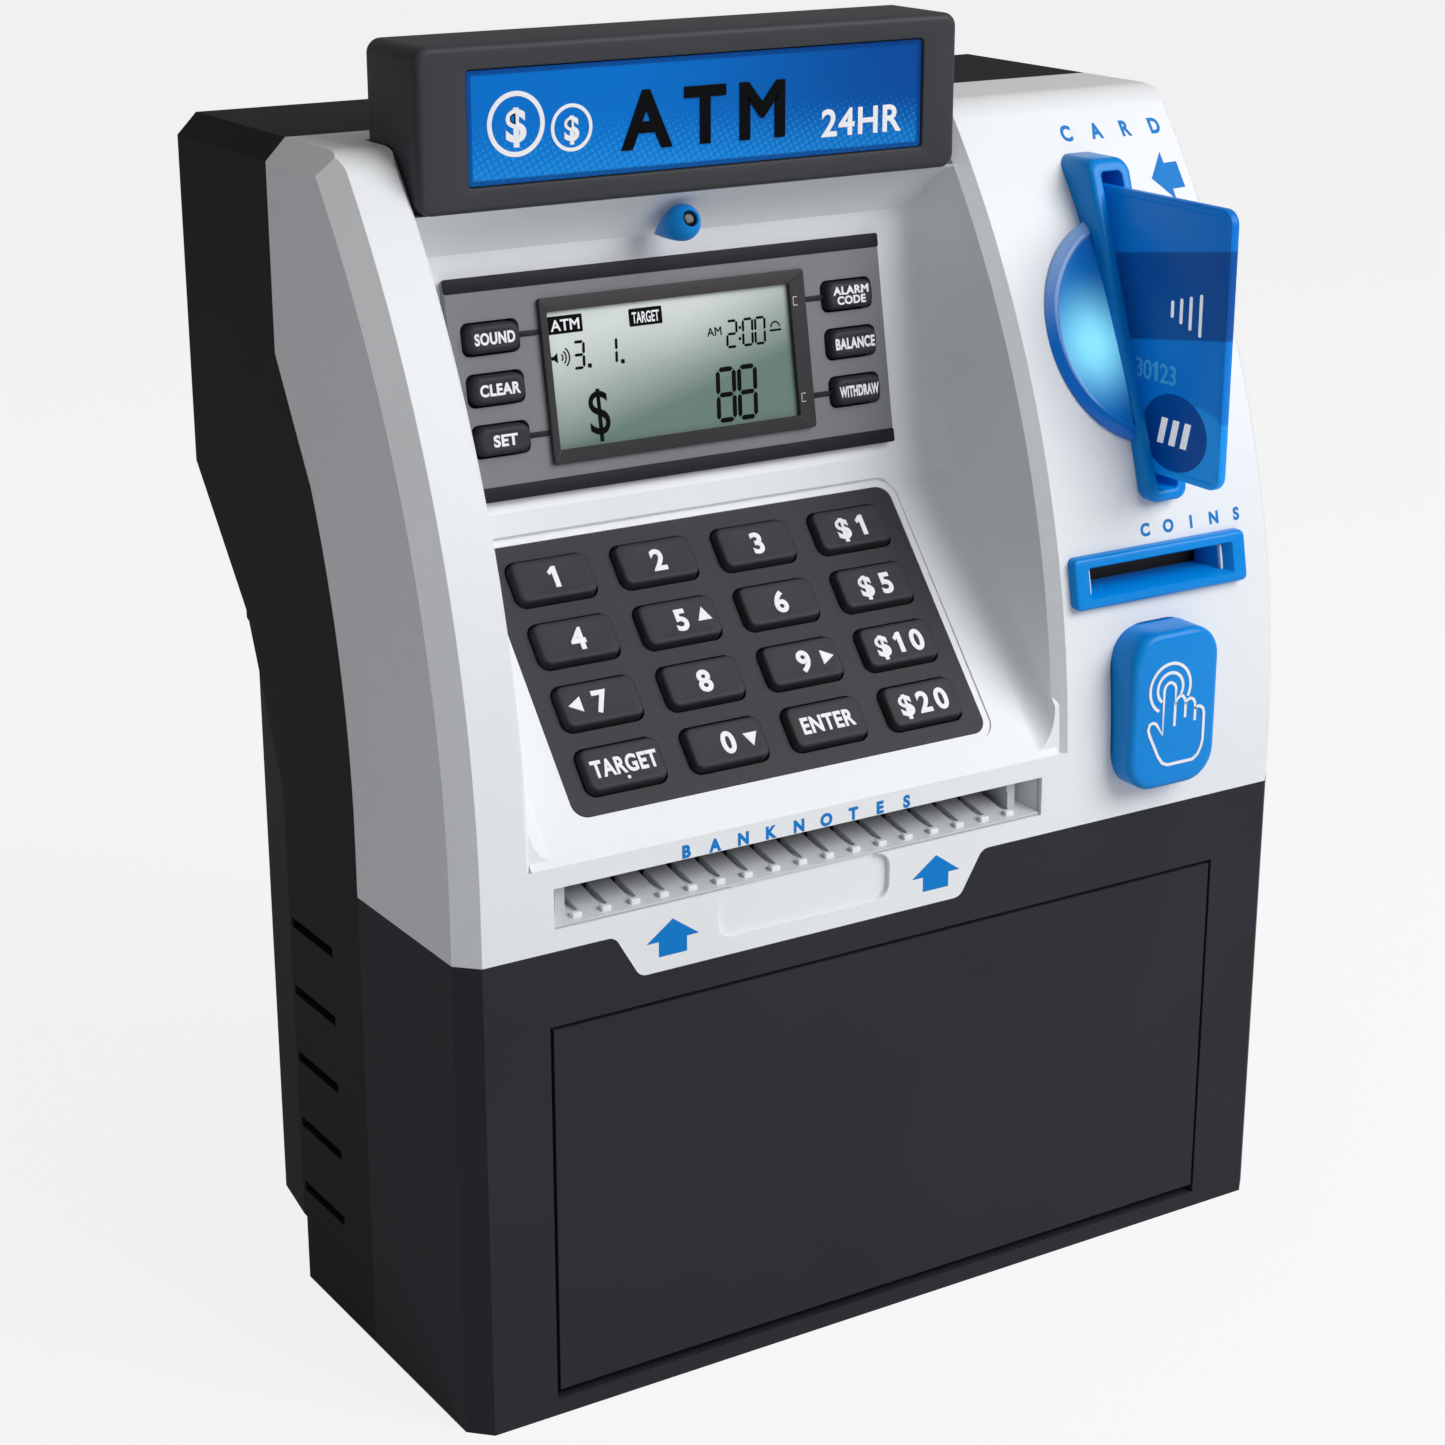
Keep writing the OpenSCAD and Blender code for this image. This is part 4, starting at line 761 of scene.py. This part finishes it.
def segmentBars(digit, across, up, tall, wide, thick):
    # bars with pointed ends round a digit's middle, leaning a little to the right
    h, w, t = tall / 2, wide / 2, thick / 2
    lines = {"a": (-w, h, w, h), "b": (w, h, w, 0), "c": (w, 0, w, -h), "d": (-w, -h, w, -h),
             "e": (-w, 0, -w, -h), "f": (-w, h, -w, 0), "g": (-w, 0, w, 0)}
    bars = []
    for name in segmentOf[digit]:
        start, end = np.reshape(lines[name], (2, 2))
        run = (end - start) / np.linalg.norm(end - start)
        side = np.array([-run[1], run[0]])
        start, end = start + run * t * screen["gap"], end - run * t * screen["gap"]
        bar = np.array([start, start + (side + run) * t, end + (side - run) * t, end,
                        end - (side + run) * t, start - (side - run) * t])
        bars.append(np.column_stack([bar[:, 0] + screen["lean"] * bar[:, 1], bar[:, 1]]) + (across, up))
    return bars


def makeScreen():
    low, high = screen["back"], screen["front"]
    shapes = [bar for digit in shownDigits for bar in segmentBars(*digit)]
    shapes += [roundLoop(size, size, 0.1, 0, 3, across, up)[:, :2] for across, up, size in shownDots]
    shapes += [roundLoop(wide, 3.3, 0.2, 0, 3, across, up)[:, :2]
               for across, up, wide in shownBoxes.values()]
    ink = [plate(np.array(shape) * mm, low, high) for shape in shapes + [horn, bellFoot]]
    ink += [letters(text, tall * mm, low, high, bold=bold, width=wide, centre=(across * mm, up * mm))
            for text, (across, up, tall, wide, bold) in shownText.items()]
    ink += [ribbon(arcPath(*arc) * mm, screen["line"], low, high) for arc in shownArcs]
    makeInk("screen_ink", ink, onScreen, blackInk)
    words = [letters(word, 2.1 * mm, high, high + 0.03 * mm, bold=0.02, width=(wide - 1.3) * mm,
                     centre=(across * mm, up * mm)) for word, (across, up, wide) in shownBoxes.items()]
    makeInk("screen_words", words, onScreen, legendInk)


dress(screenFinish(), "lcd_module")
makeScreen()
print("screen made")

# The touch button with its pointing hand, whose points are in millimetres.

touch = metres(flange=3.2, corner=6.7, foot=-7, fillet=1.6, crown=0.3, line=0.62, lineDeep=0.5)
ripples = [(-1.8, 4.8, 5.1, -27, 238, 28), (-1.8, 4.8, 3.2, -31, 232, 28)]    # as shownArcs
handPath = [(-3.3, -4.6), (-3.3, 4.6), (-3.0, 5.4), (-2.3, 5.95), (-1.5, 5.95), (-0.7, 5.4),
            (-0.35, 4.6), (-0.35, 1.2), (0.0, 2.2), (0.7, 2.8), (1.5, 2.7), (2.1, 1.9), (2.3, 1.0),
            (2.7, 1.6), (3.4, 1.9), (4.2, 1.6), (4.7, 0.8), (4.85, -0.5), (5.3, -0.2), (6.1, -0.2),
            (6.9, -0.8), (7.2, -1.8), (7.2, -7.4), (6.8, -9.0), (6.0, -10.4), (4.8, -11.2),
            (-1.6, -11.2), (-3.0, -10.6), (-4.2, -9.0), (-6.6, -4.2), (-7.0, -3.0), (-6.7, -2.0),
            (-5.9, -1.7), (-5.0, -2.1)]
handGaps = [((-0.35, 1.6), (-0.35, -3.3)), ((2.3, 1.2), (2.3, -1.9)), ((4.85, -0.2), (4.85, -3.0))]


def makeTouchButton():
    # rings of a round cornered outline: straight wall, quarter round edge, then a low crown; the node
    # is wider by its hidden flange
    x, z = middleOf("touch_button")[::2]
    wide, tall = [size - touch["flange"] for size in sizeOf("touch_button")[::2]]
    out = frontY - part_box("touch_button")[0].y
    place = facing(x, frontY, z)
    sizes = [(wide, tall, touch["corner"], touch["foot"])]
    sizes += easedEdge(wide, tall, touch["corner"], out - touch["crown"], touch["fillet"], 8)
    w, h, r = sizes[-1][:3]
    sizes += [(w * k, h * k, r * k, out - touch["crown"] * k * k) for k in (0.85, 0.6, 0.35, 0.1)]
    makePiece("touch_cap", loft([roundLoop(*size, 14) for size in sizes]), place, blueTrim,
              "touch_button", ["touch_button"])
    paths = [arcPath(*ripple) for ripple in ripples] + [handPath] + handGaps
    lines = [ribbon(np.array(path) * mm, touch["line"], out - touch["lineDeep"], out, path is handPath)
             for path in paths]
    makeInk("touch_sign", lines, place, legendInk, "touch_button")


makeTouchButton()
print("touch button made")

# The card slot: bezel, lit dome and bank card.

bezel = {"lip": ((0.5, 0), (0.15, -0.15), (0, -0.5), (0, -16)), **metres(
    width=10, height=64, corner=2.6, ease=1.1, back=0.4, arcZ=118.6, mouth=(4.9, 59.2, 0.8),
    foot=-0.8)}
dome = metres(
    radius=23.7, rim=2.4, foot=-2, edge=0.25, out=1.3, crown=0.6, crownEnd=9, cut=-8.8, shift=3.7,
    soft=0.3, glow=(-13.5, -1.5), glowSize=15)
cardX, cardZ = middleOf("card_bezel")[::2]


def bezelY(z):
    # depth of the bezel's face at height z: an arc of the front radius about its own middle
    rise = np.asarray(z, float) - bezel["arcZ"]
    return frontY + bezel["back"] + front["radius"] - np.sqrt(front["radius"] ** 2 - rise ** 2)


def makeCardBezel():
    # closed rings: foot under the case, wall, eased edge, face, mouth, and back to the foot
    sizes = [(bezel["width"], bezel["height"], bezel["corner"], 0)]
    sizes += easedEdge(bezel["width"], bezel["height"], bezel["corner"], 0, bezel["ease"])
    sizes += mouthSizes(*bezel["mouth"], bezel["lip"])
    rings = np.array([roundLoop(*size, 8) for size in sizes])
    heights = cardZ + rings[0, :, 1]
    rings[0, :, 2] = bezelY(heights) - caseY(heights) + bezel["foot"]
    makePiece("card_surround", loft(rings, loop=True), draped(cardX, cardZ, bezelY), blueTrim,
              replaces=["card_bezel"])


def domeFinish():
    # lit from within: white blue at its middle, deep blue at the rim, with a painted highlight on the
    # rim to the upper left
    finish = Finish("domeLight", "light_lens", 0.14, Coat_Weight=0.05, Specular_IOR_Level=0.25,
                    Emission_Strength=0.75)
    x, z = finish.axes()[::2]
    across = (x - cardX - dome["shift"] - dome["glow"][0]) / dome["glowSize"]
    up = (z - cardZ - dome["glow"][1]) / dome["glowSize"]
    far = (across * across + up * up) ** 0.5
    middle = (1 - far.step(0.0, 1.0)) ** 1.4
    wide = ((x - cardX - dome["shift"]) ** 2.0 + ((z - cardZ) * 1.09) ** 2.0) ** 0.5
    edge = dome["radius"] - dome["rim"]
    rim = wide.step(edge - dome["soft"], edge + dome["soft"])
    base = finish.blend(far.step(0.5, 1.5), colour(30, 134, 214), colour(14, 96, 186))
    base = finish.blend(middle, base, colour(150, 226, 246))
    # painted highlight: the rim's deep blue turns pale towards the upper left
    side = (0.5 - 8.4 * (x - cardX) + 14.0 * (z - cardZ)).clamped()
    rimToneAndHighlight = finish.blend(side.step(0.64, 0.9), colour(4, 98, 188), colour(150, 182, 222))
    glow = finish.blend(middle * (1 - rim), colour(0, 40, 80), colour(120, 214, 238))
    finish.feed(Base_Color=finish.blend(rim, base, rimToneAndHighlight), Emission_Color=glow,
                Roughness=0.12 + 0.05 * finish.noise(12 * mm))
    return finish.material


def makeDome():
    # rings of the arc left of the cut, closed by its chord: rim, bevel and a low crown
    steps = np.linspace(0, 1, 64)
    chord = np.linspace(0, 1, 18)[1:-1]
    radius, edge = dome["radius"], dome["edge"]
    profile = [(radius, dome["foot"]), (radius, edge)]
    profile += [(radius - dome["rim"] * t, edge + (dome["out"] - edge) * math.sin(t * 1.57))
                for t in (0.15, 0.35, 0.6, 0.85, 1.0)]
    inner, face = radius - dome["rim"] - dome["soft"], dome["out"] - edge
    profile += [(inner * t + dome["crownEnd"] * (1 - t), face + dome["crown"] * (1 - t * t))
                for t in (1.0, 0.8, 0.6, 0.4, 0.2, 0.02)]
    rings = []
    for radius, out in profile:
        start = math.acos(dome["cut"] / radius)
        angle = start + steps * (2 * math.pi - 2 * start)
        arc = np.stack([radius * np.cos(angle), radius * np.sin(angle)], 1)
        low, high = arc[-1, 1], arc[0, 1]
        side = np.stack([np.full(len(chord), dome["cut"]), low + chord * (high - low)], 1)
        ring = np.concatenate([arc, side])
        rings.append(np.column_stack([ring, np.full(len(ring), out)]))
    makePiece("dome_lens", loft(rings), onCase(cardX + dome["shift"], cardZ), domeFinish(),
              replaces=["card_lens"])


card = {"bars": ((26.8, 3.4), (29.4, 5.0), (32.1, 6.6), (35.0, 8.3)), "figures": "01230123",
        "lean": 0.24, **metres(
            rimHigh=0.32, corner=3, barsUp=6, barWide=0.85, figureTall=3.9, figurePitch=2.5,
            figuresAt=(19, -6.8), badge=(29, -18, 9.6, 7.6), slantPitch=3.4, ink=0.05,
            inkDeep=0.1, inkStep=0.02)}


def paintedGlowCardFinish():
    # translucent print, its colour also given off as a painted glow that lifts its shaded face: mid
    # blue above,
    #     # a dark band that climbs to the front, a lighter foot with a soft curved edge
    finish = Finish("cardBlue", "card", 0.3, Specular_IOR_Level=0.16, Emission_Strength=0.3)
    y, z = finish.axes()[1:]
    back, height = finish.share("bank_card")[1:]
    rise = height + card["lean"] * back
    band = rise.step(0.54, 0.55) * (1 - rise.step(0.855, 0.865))
    curve = ((back - 0.1) ** 2.0 * 3.0 + (height + 0.12) ** 2.0) ** 0.5
    base = finish.blend(height, colour(0, 112, 200), colour(0, 104, 190))
    base = finish.blend(band, base, colour(0, 66, 142))
    base = finish.blend((1 - curve.step(0.40, 0.41)) * 0.7, base, colour(16, 142, 224))
    weave = ((y + z) / (0.9 * mm) % 1.0 - 0.5) * ((y - z) / (0.9 * mm) % 1.0 - 0.5)
    base = finish.blend(0.06 * weave.step(-0.1, 0.1), base, colour(70, 160, 224))
    # painted glow: the card's own colour given off as light, though the card is no lamp
    finish.feed(Base_Color=base, Emission_Color=base, Roughness=0.26 + 0.08 * finish.noise(18 * mm))
    return finish.material


def paintedGlowCardInk(name, tone):
    # print on the card, with a painted glow (its colour given off as emission) that lifts it out of
    # shade
    finish = Finish(name, "card", 0.4, Specular_IOR_Level=0.15, Emission_Strength=0.3)
    base = finish.blend(finish.noise(6 * mm).step(0.3, 0.7), shade(tone, 0.96), tone)
    # painted glow: the print's colour given off as light so that it stays bright in shade
    finish.feed(Base_Color=base, Emission_Color=base)
    return finish.material


def onCard(p):
    # the left face of the card: across is forwards, up is Z, out is -X
    return np.stack([cardX - p[:, 2], middleOf("bank_card")[1] - p[:, 0], cardZ + p[:, 1]], 1)


def makeCard():
    # a thin plate with a raised, rounded rim on both of its faces, then the print on its left face
    thick, wide, tall = sizeOf("bank_card")
    half = 0.5 * thick
    edge = [(0.0, half - 0.35 * mm), (0.12, half - 0.1 * mm), (0.4, half), (1.0, half),
            (1.35, half - 0.15 * mm), (1.5, half - card["rimHigh"])]
    levels = [(pull, -out) for pull, out in reversed(edge)] + edge
    rings = [roundLoop(wide - 2 * pull * mm, tall - 2 * pull * mm, card["corner"] - pull * mm, out, 8)
             for pull, out in levels]
    makePiece("card_plate", loft(rings), onCard, paintedGlowCardFinish(), "bank_card", ["bank_card"])
    face = half - card["rimHigh"]
    low, high, step = face - card["inkDeep"], face + card["ink"], card["inkStep"]
    bars = [softPad(card["barWide"], long * mm, 0.4 * mm, low, high, step, at * mm, card["barsUp"], 4)
            for at, long in card["bars"]]
    badgeX, badgeUp, badgeWide, badgeTall = card["badge"]
    slant = np.array([(-1.5, -2.6), (0.3, -2.6), (1.5, 2.6), (-0.3, 2.6)]) * mm
    bars += [plate(slant + (badgeX + k * card["slantPitch"], badgeUp), low, high + step)
             for k in (-1, 0, 1)]
    oval = ringAt(1, 0)[:, :2] * (badgeWide, badgeTall) + (badgeX, badgeUp)
    figures = letters(card["figures"], card["figureTall"], low, high, bold=0.01,
                      pitch=card["figurePitch"], centre=card["figuresAt"])
    makeInk("card_marks", bars, onCard, paintedGlowCardInk("cardWhite", colour(236, 238, 242)), "bank_card")
    makeInk("card_badge", [plate(oval, low, high - step)], onCard,
            paintedGlowCardInk("cardDeep", colour(0, 66, 142)), "bank_card")
    makeInk("card_numbers", [figures], onCard, paintedGlowCardInk("cardPale", colour(64, 150, 204)), "bank_card")


makeCardBezel()
makeDome()
makeCard()
print("card slot made")

# The coin slot: a bezel whose mouth narrows like a funnel, with two sprung contacts inside.

coin = {"spring": ((-1.9, 0.0), (-1.2, 0.9), (0, 1.25), (1.2, 0.9), (1.9, 0.0)), **metres(
    width=43.5, height=10, corner=1.3, foot=-0.8, out=2, ease=0.7, mouth=(36.1, 5.7),
    throat=(30.5, 4.4, 0.2), funnelDeep=5, throatDeep=10.5, contactAcross=9.5, contactDeep=9)}


def makeCoinBezel():
    # closed rings: foot, wall, eased edge, face, funnel, throat, and back to the foot; each contact
    # is the profile of a bent spring carried upwards
    wide, tall, corner, out = coin["width"], coin["height"], coin["corner"], coin["out"]
    mouthWide, mouthTall = coin["mouth"]
    sizes = [(wide, tall, corner, coin["foot"])] + easedEdge(wide, tall, corner, out, coin["ease"])
    sizes += [(mouthWide + 0.5 * mm, mouthTall + 0.5 * mm, 0.6 * mm, out),
              (mouthWide, mouthTall, 0.4 * mm, out - 0.3 * mm),
              (*coin["throat"], out - coin["funnelDeep"]), (*coin["throat"], out - coin["throatDeep"])]
    place = draped(*middleOf("coin_bezel")[::2])
    makePiece("coin_surround", loft([roundLoop(*size, 7) for size in sizes], loop=True), place,
              blueTrim, replaces=["coin_bezel"])
    across, back = np.array(coin["spring"]).T * mm
    contacts = [loft([np.column_stack([across + side * coin["contactAcross"], 0 * across + up * mm,
                                       back - coin["contactDeep"]]) for up in (-2.3, -1.2, -1.1)])
                for side in (-1, 1)]
    makePiece("coin_contacts", gather(contacts), place, steelDark)


makeCoinBezel()
print("coin slot made")

# Printed words and arrows on the case, and the tabs at the front of the note grooves.

caseWords = {"word_notes": ("BANKNOTES", 2.35, 6.12, -24.3, 107.8, 0.05),
             "word_coins": ("COINS", 2.4, 5.87, 72.35, 151.0, 0.04),
             "word_card": ("CARD", 2.75, 7.5, 75.3, 224.0, 0.04)}    # height, pitch, x, z, bold
arrowShape = [(0, 3.5), (-5.6, -0.5), (-3.0, -0.5), (-3.0, -3.5), (3.0, -3.5), (3.0, -0.5), (5.6, -0.5)]
noteArrows = {"note_arrow_left": (-51.8, 91.8), "note_arrow_right": (7.4, 91.8)}    # x, z
cardArrow = {"x": 85.0 * mm, "z": 214.65 * mm, "turn": 92, "size": (0.79, 1.09)}
printed = metres(back=-0.3, wordFront=0.04, arrowFront=0.06)
noteTabs = {"x": fascia["x"] + 0.9 * mm, "count": 17, **metres(
    pitch=109 / 18, shift=-0.6, z=99.0, size=(2.0, 1.4, 0.25), foot=-1.2, high=1.15, ease=0.2,
    back=2.0)}


def makeCaseWords():
    for name, (word, tall, pitch, x, z, bold) in caseWords.items():
        ink = letters(word, tall * mm, printed["back"], printed["wordFront"], bold, pitch=pitch * mm)
        makeInk(name, [ink], draped(x * mm, z * mm), blueInk)


def makeArrows():
    outline = np.array(arrowShape) * mm
    low, high = printed["back"], printed["arrowFront"]
    for name, (x, z) in noteArrows.items():
        makeInk(name, [plate(outline, low, high)], facing(x * mm, frontY, z * mm), blueInk)
    turn = math.radians(cardArrow["turn"])
    spin = np.array([[math.cos(turn), -math.sin(turn)], [math.sin(turn), math.cos(turn)]])
    makeInk("card_arrow", [plate(outline * cardArrow["size"] @ spin.T, low, high)],
            draped(cardArrow["x"], cardArrow["z"]), blueInk)


def makeNoteTabs():
    # a row of small pads that stand on the shelf in front of the grooves
    places = (np.arange(noteTabs["count"]) - (noteTabs["count"] - 1) / 2) * noteTabs["pitch"]
    pads = [softPad(*noteTabs["size"], noteTabs["foot"], noteTabs["high"], noteTabs["ease"],
                    across + noteTabs["shift"], 0, 4) for across in places]
    makePiece("note_tabs", gather(pads),
              tilted(noteTabs["x"], frontY + noteTabs["back"], noteTabs["z"], 0), whiteCase)


makeCaseWords()
makeArrows()
makeNoteTabs()
print("lettering made")

# Studio: pale floor, white surroundings, three soft lamps and the camera.

studio = {"floor": colour(226, 228, 232), "span": 6.0, "floorGlow": 0.85, "worldLight": 0.2,
          "mirror": 0.2, "middle": (0.0, 0.0, 0.12)}
# width, height, power, azimuth, elevation, distance
lamps = {"keyLamp": (1.0, 0.8, 15.0, 36, 35, 1.3), "topLamp": (0.9, 0.9, 1.0, -20, 78, 1.2),
         "fillLamp": (1.2, 0.8, 0.45, -60, 18, 1.5)}
lens = {"place": (-313.3, -432.4, 306.1), "azimuth": -32.19, "elevation": 18.91, "focal": 74.71}


def makeFloor():
    span = studio["span"]
    corners = [(-span, -span, 0), (span, -span, 0), (span, span, 0), (-span, span, 0)]
    mesh = bpy.data.meshes.new("studioFloor")
    mesh.from_pydata(corners, [], [(0, 1, 2, 3)])
    floor = addObject("studioFloor", mesh)
    finish = Finish("floorPaper", "white_case", 0.9, Base_Color=studio["floor"])
    glow = finish.node("Emission", Strength=1.0)
    surface = finish.node("MixShader", i0=studio["floorGlow"] * finish.seen(studio["mirror"]),
                          i1=Wire(finish, finish.shader.outputs[0]), i2=glow)
    finish.join(surface, finish.tree.nodes["Material Output"].inputs[0])
    mesh.materials.append(finish.material)


def makeWorld():
    world = bpy.data.worlds.new("studioWorld")
    scene.world = world
    world.use_nodes = True
    graph = Graph(world.node_tree)
    back = graph.tree.nodes["Background"]
    graph.join((1, 1, 1, 1), back.inputs["Color"])
    graph.join(graph.seen(studio["mirror"]).larger(studio["worldLight"]), back.inputs["Strength"])


def makeLamp(name, wide, tall, power, azimuth, elevation, distance):
    # a lamp on a sphere about the toy's middle, turned towards it
    a, e = math.radians(azimuth), math.radians(elevation)
    lamp = bpy.data.lights.new(name, "AREA")
    lamp.shape = "RECTANGLE"
    lamp.size = wide
    lamp.size_y = tall
    lamp.energy = power
    holder = addObject(name, lamp)
    way = (math.sin(a) * math.cos(e), -math.cos(a) * math.cos(e), math.sin(e))
    holder.location = [m + distance * w for m, w in zip(studio["middle"], way)]
    holder.rotation_euler = (math.radians(90 - elevation), 0, a)


def makeCamera():
    data = bpy.data.cameras.new("studioCamera")
    data.lens = lens["focal"]
    data.sensor_width = 36.0
    data.clip_start = 0.01
    camera = addObject("studioCamera", data)
    x, y, z = lens["place"]
    camera.location = (x * mm, y * mm + frontY, z * mm)
    camera.rotation_euler = (math.radians(90 - lens["elevation"]), 0, math.radians(lens["azimuth"]))
    scene.camera = camera


makeFloor()
makeWorld()
for lampName, lampValues in lamps.items():
    makeLamp(lampName, *lampValues)
makeCamera()
scene.view_settings.view_transform = "Standard"
print("studio made")
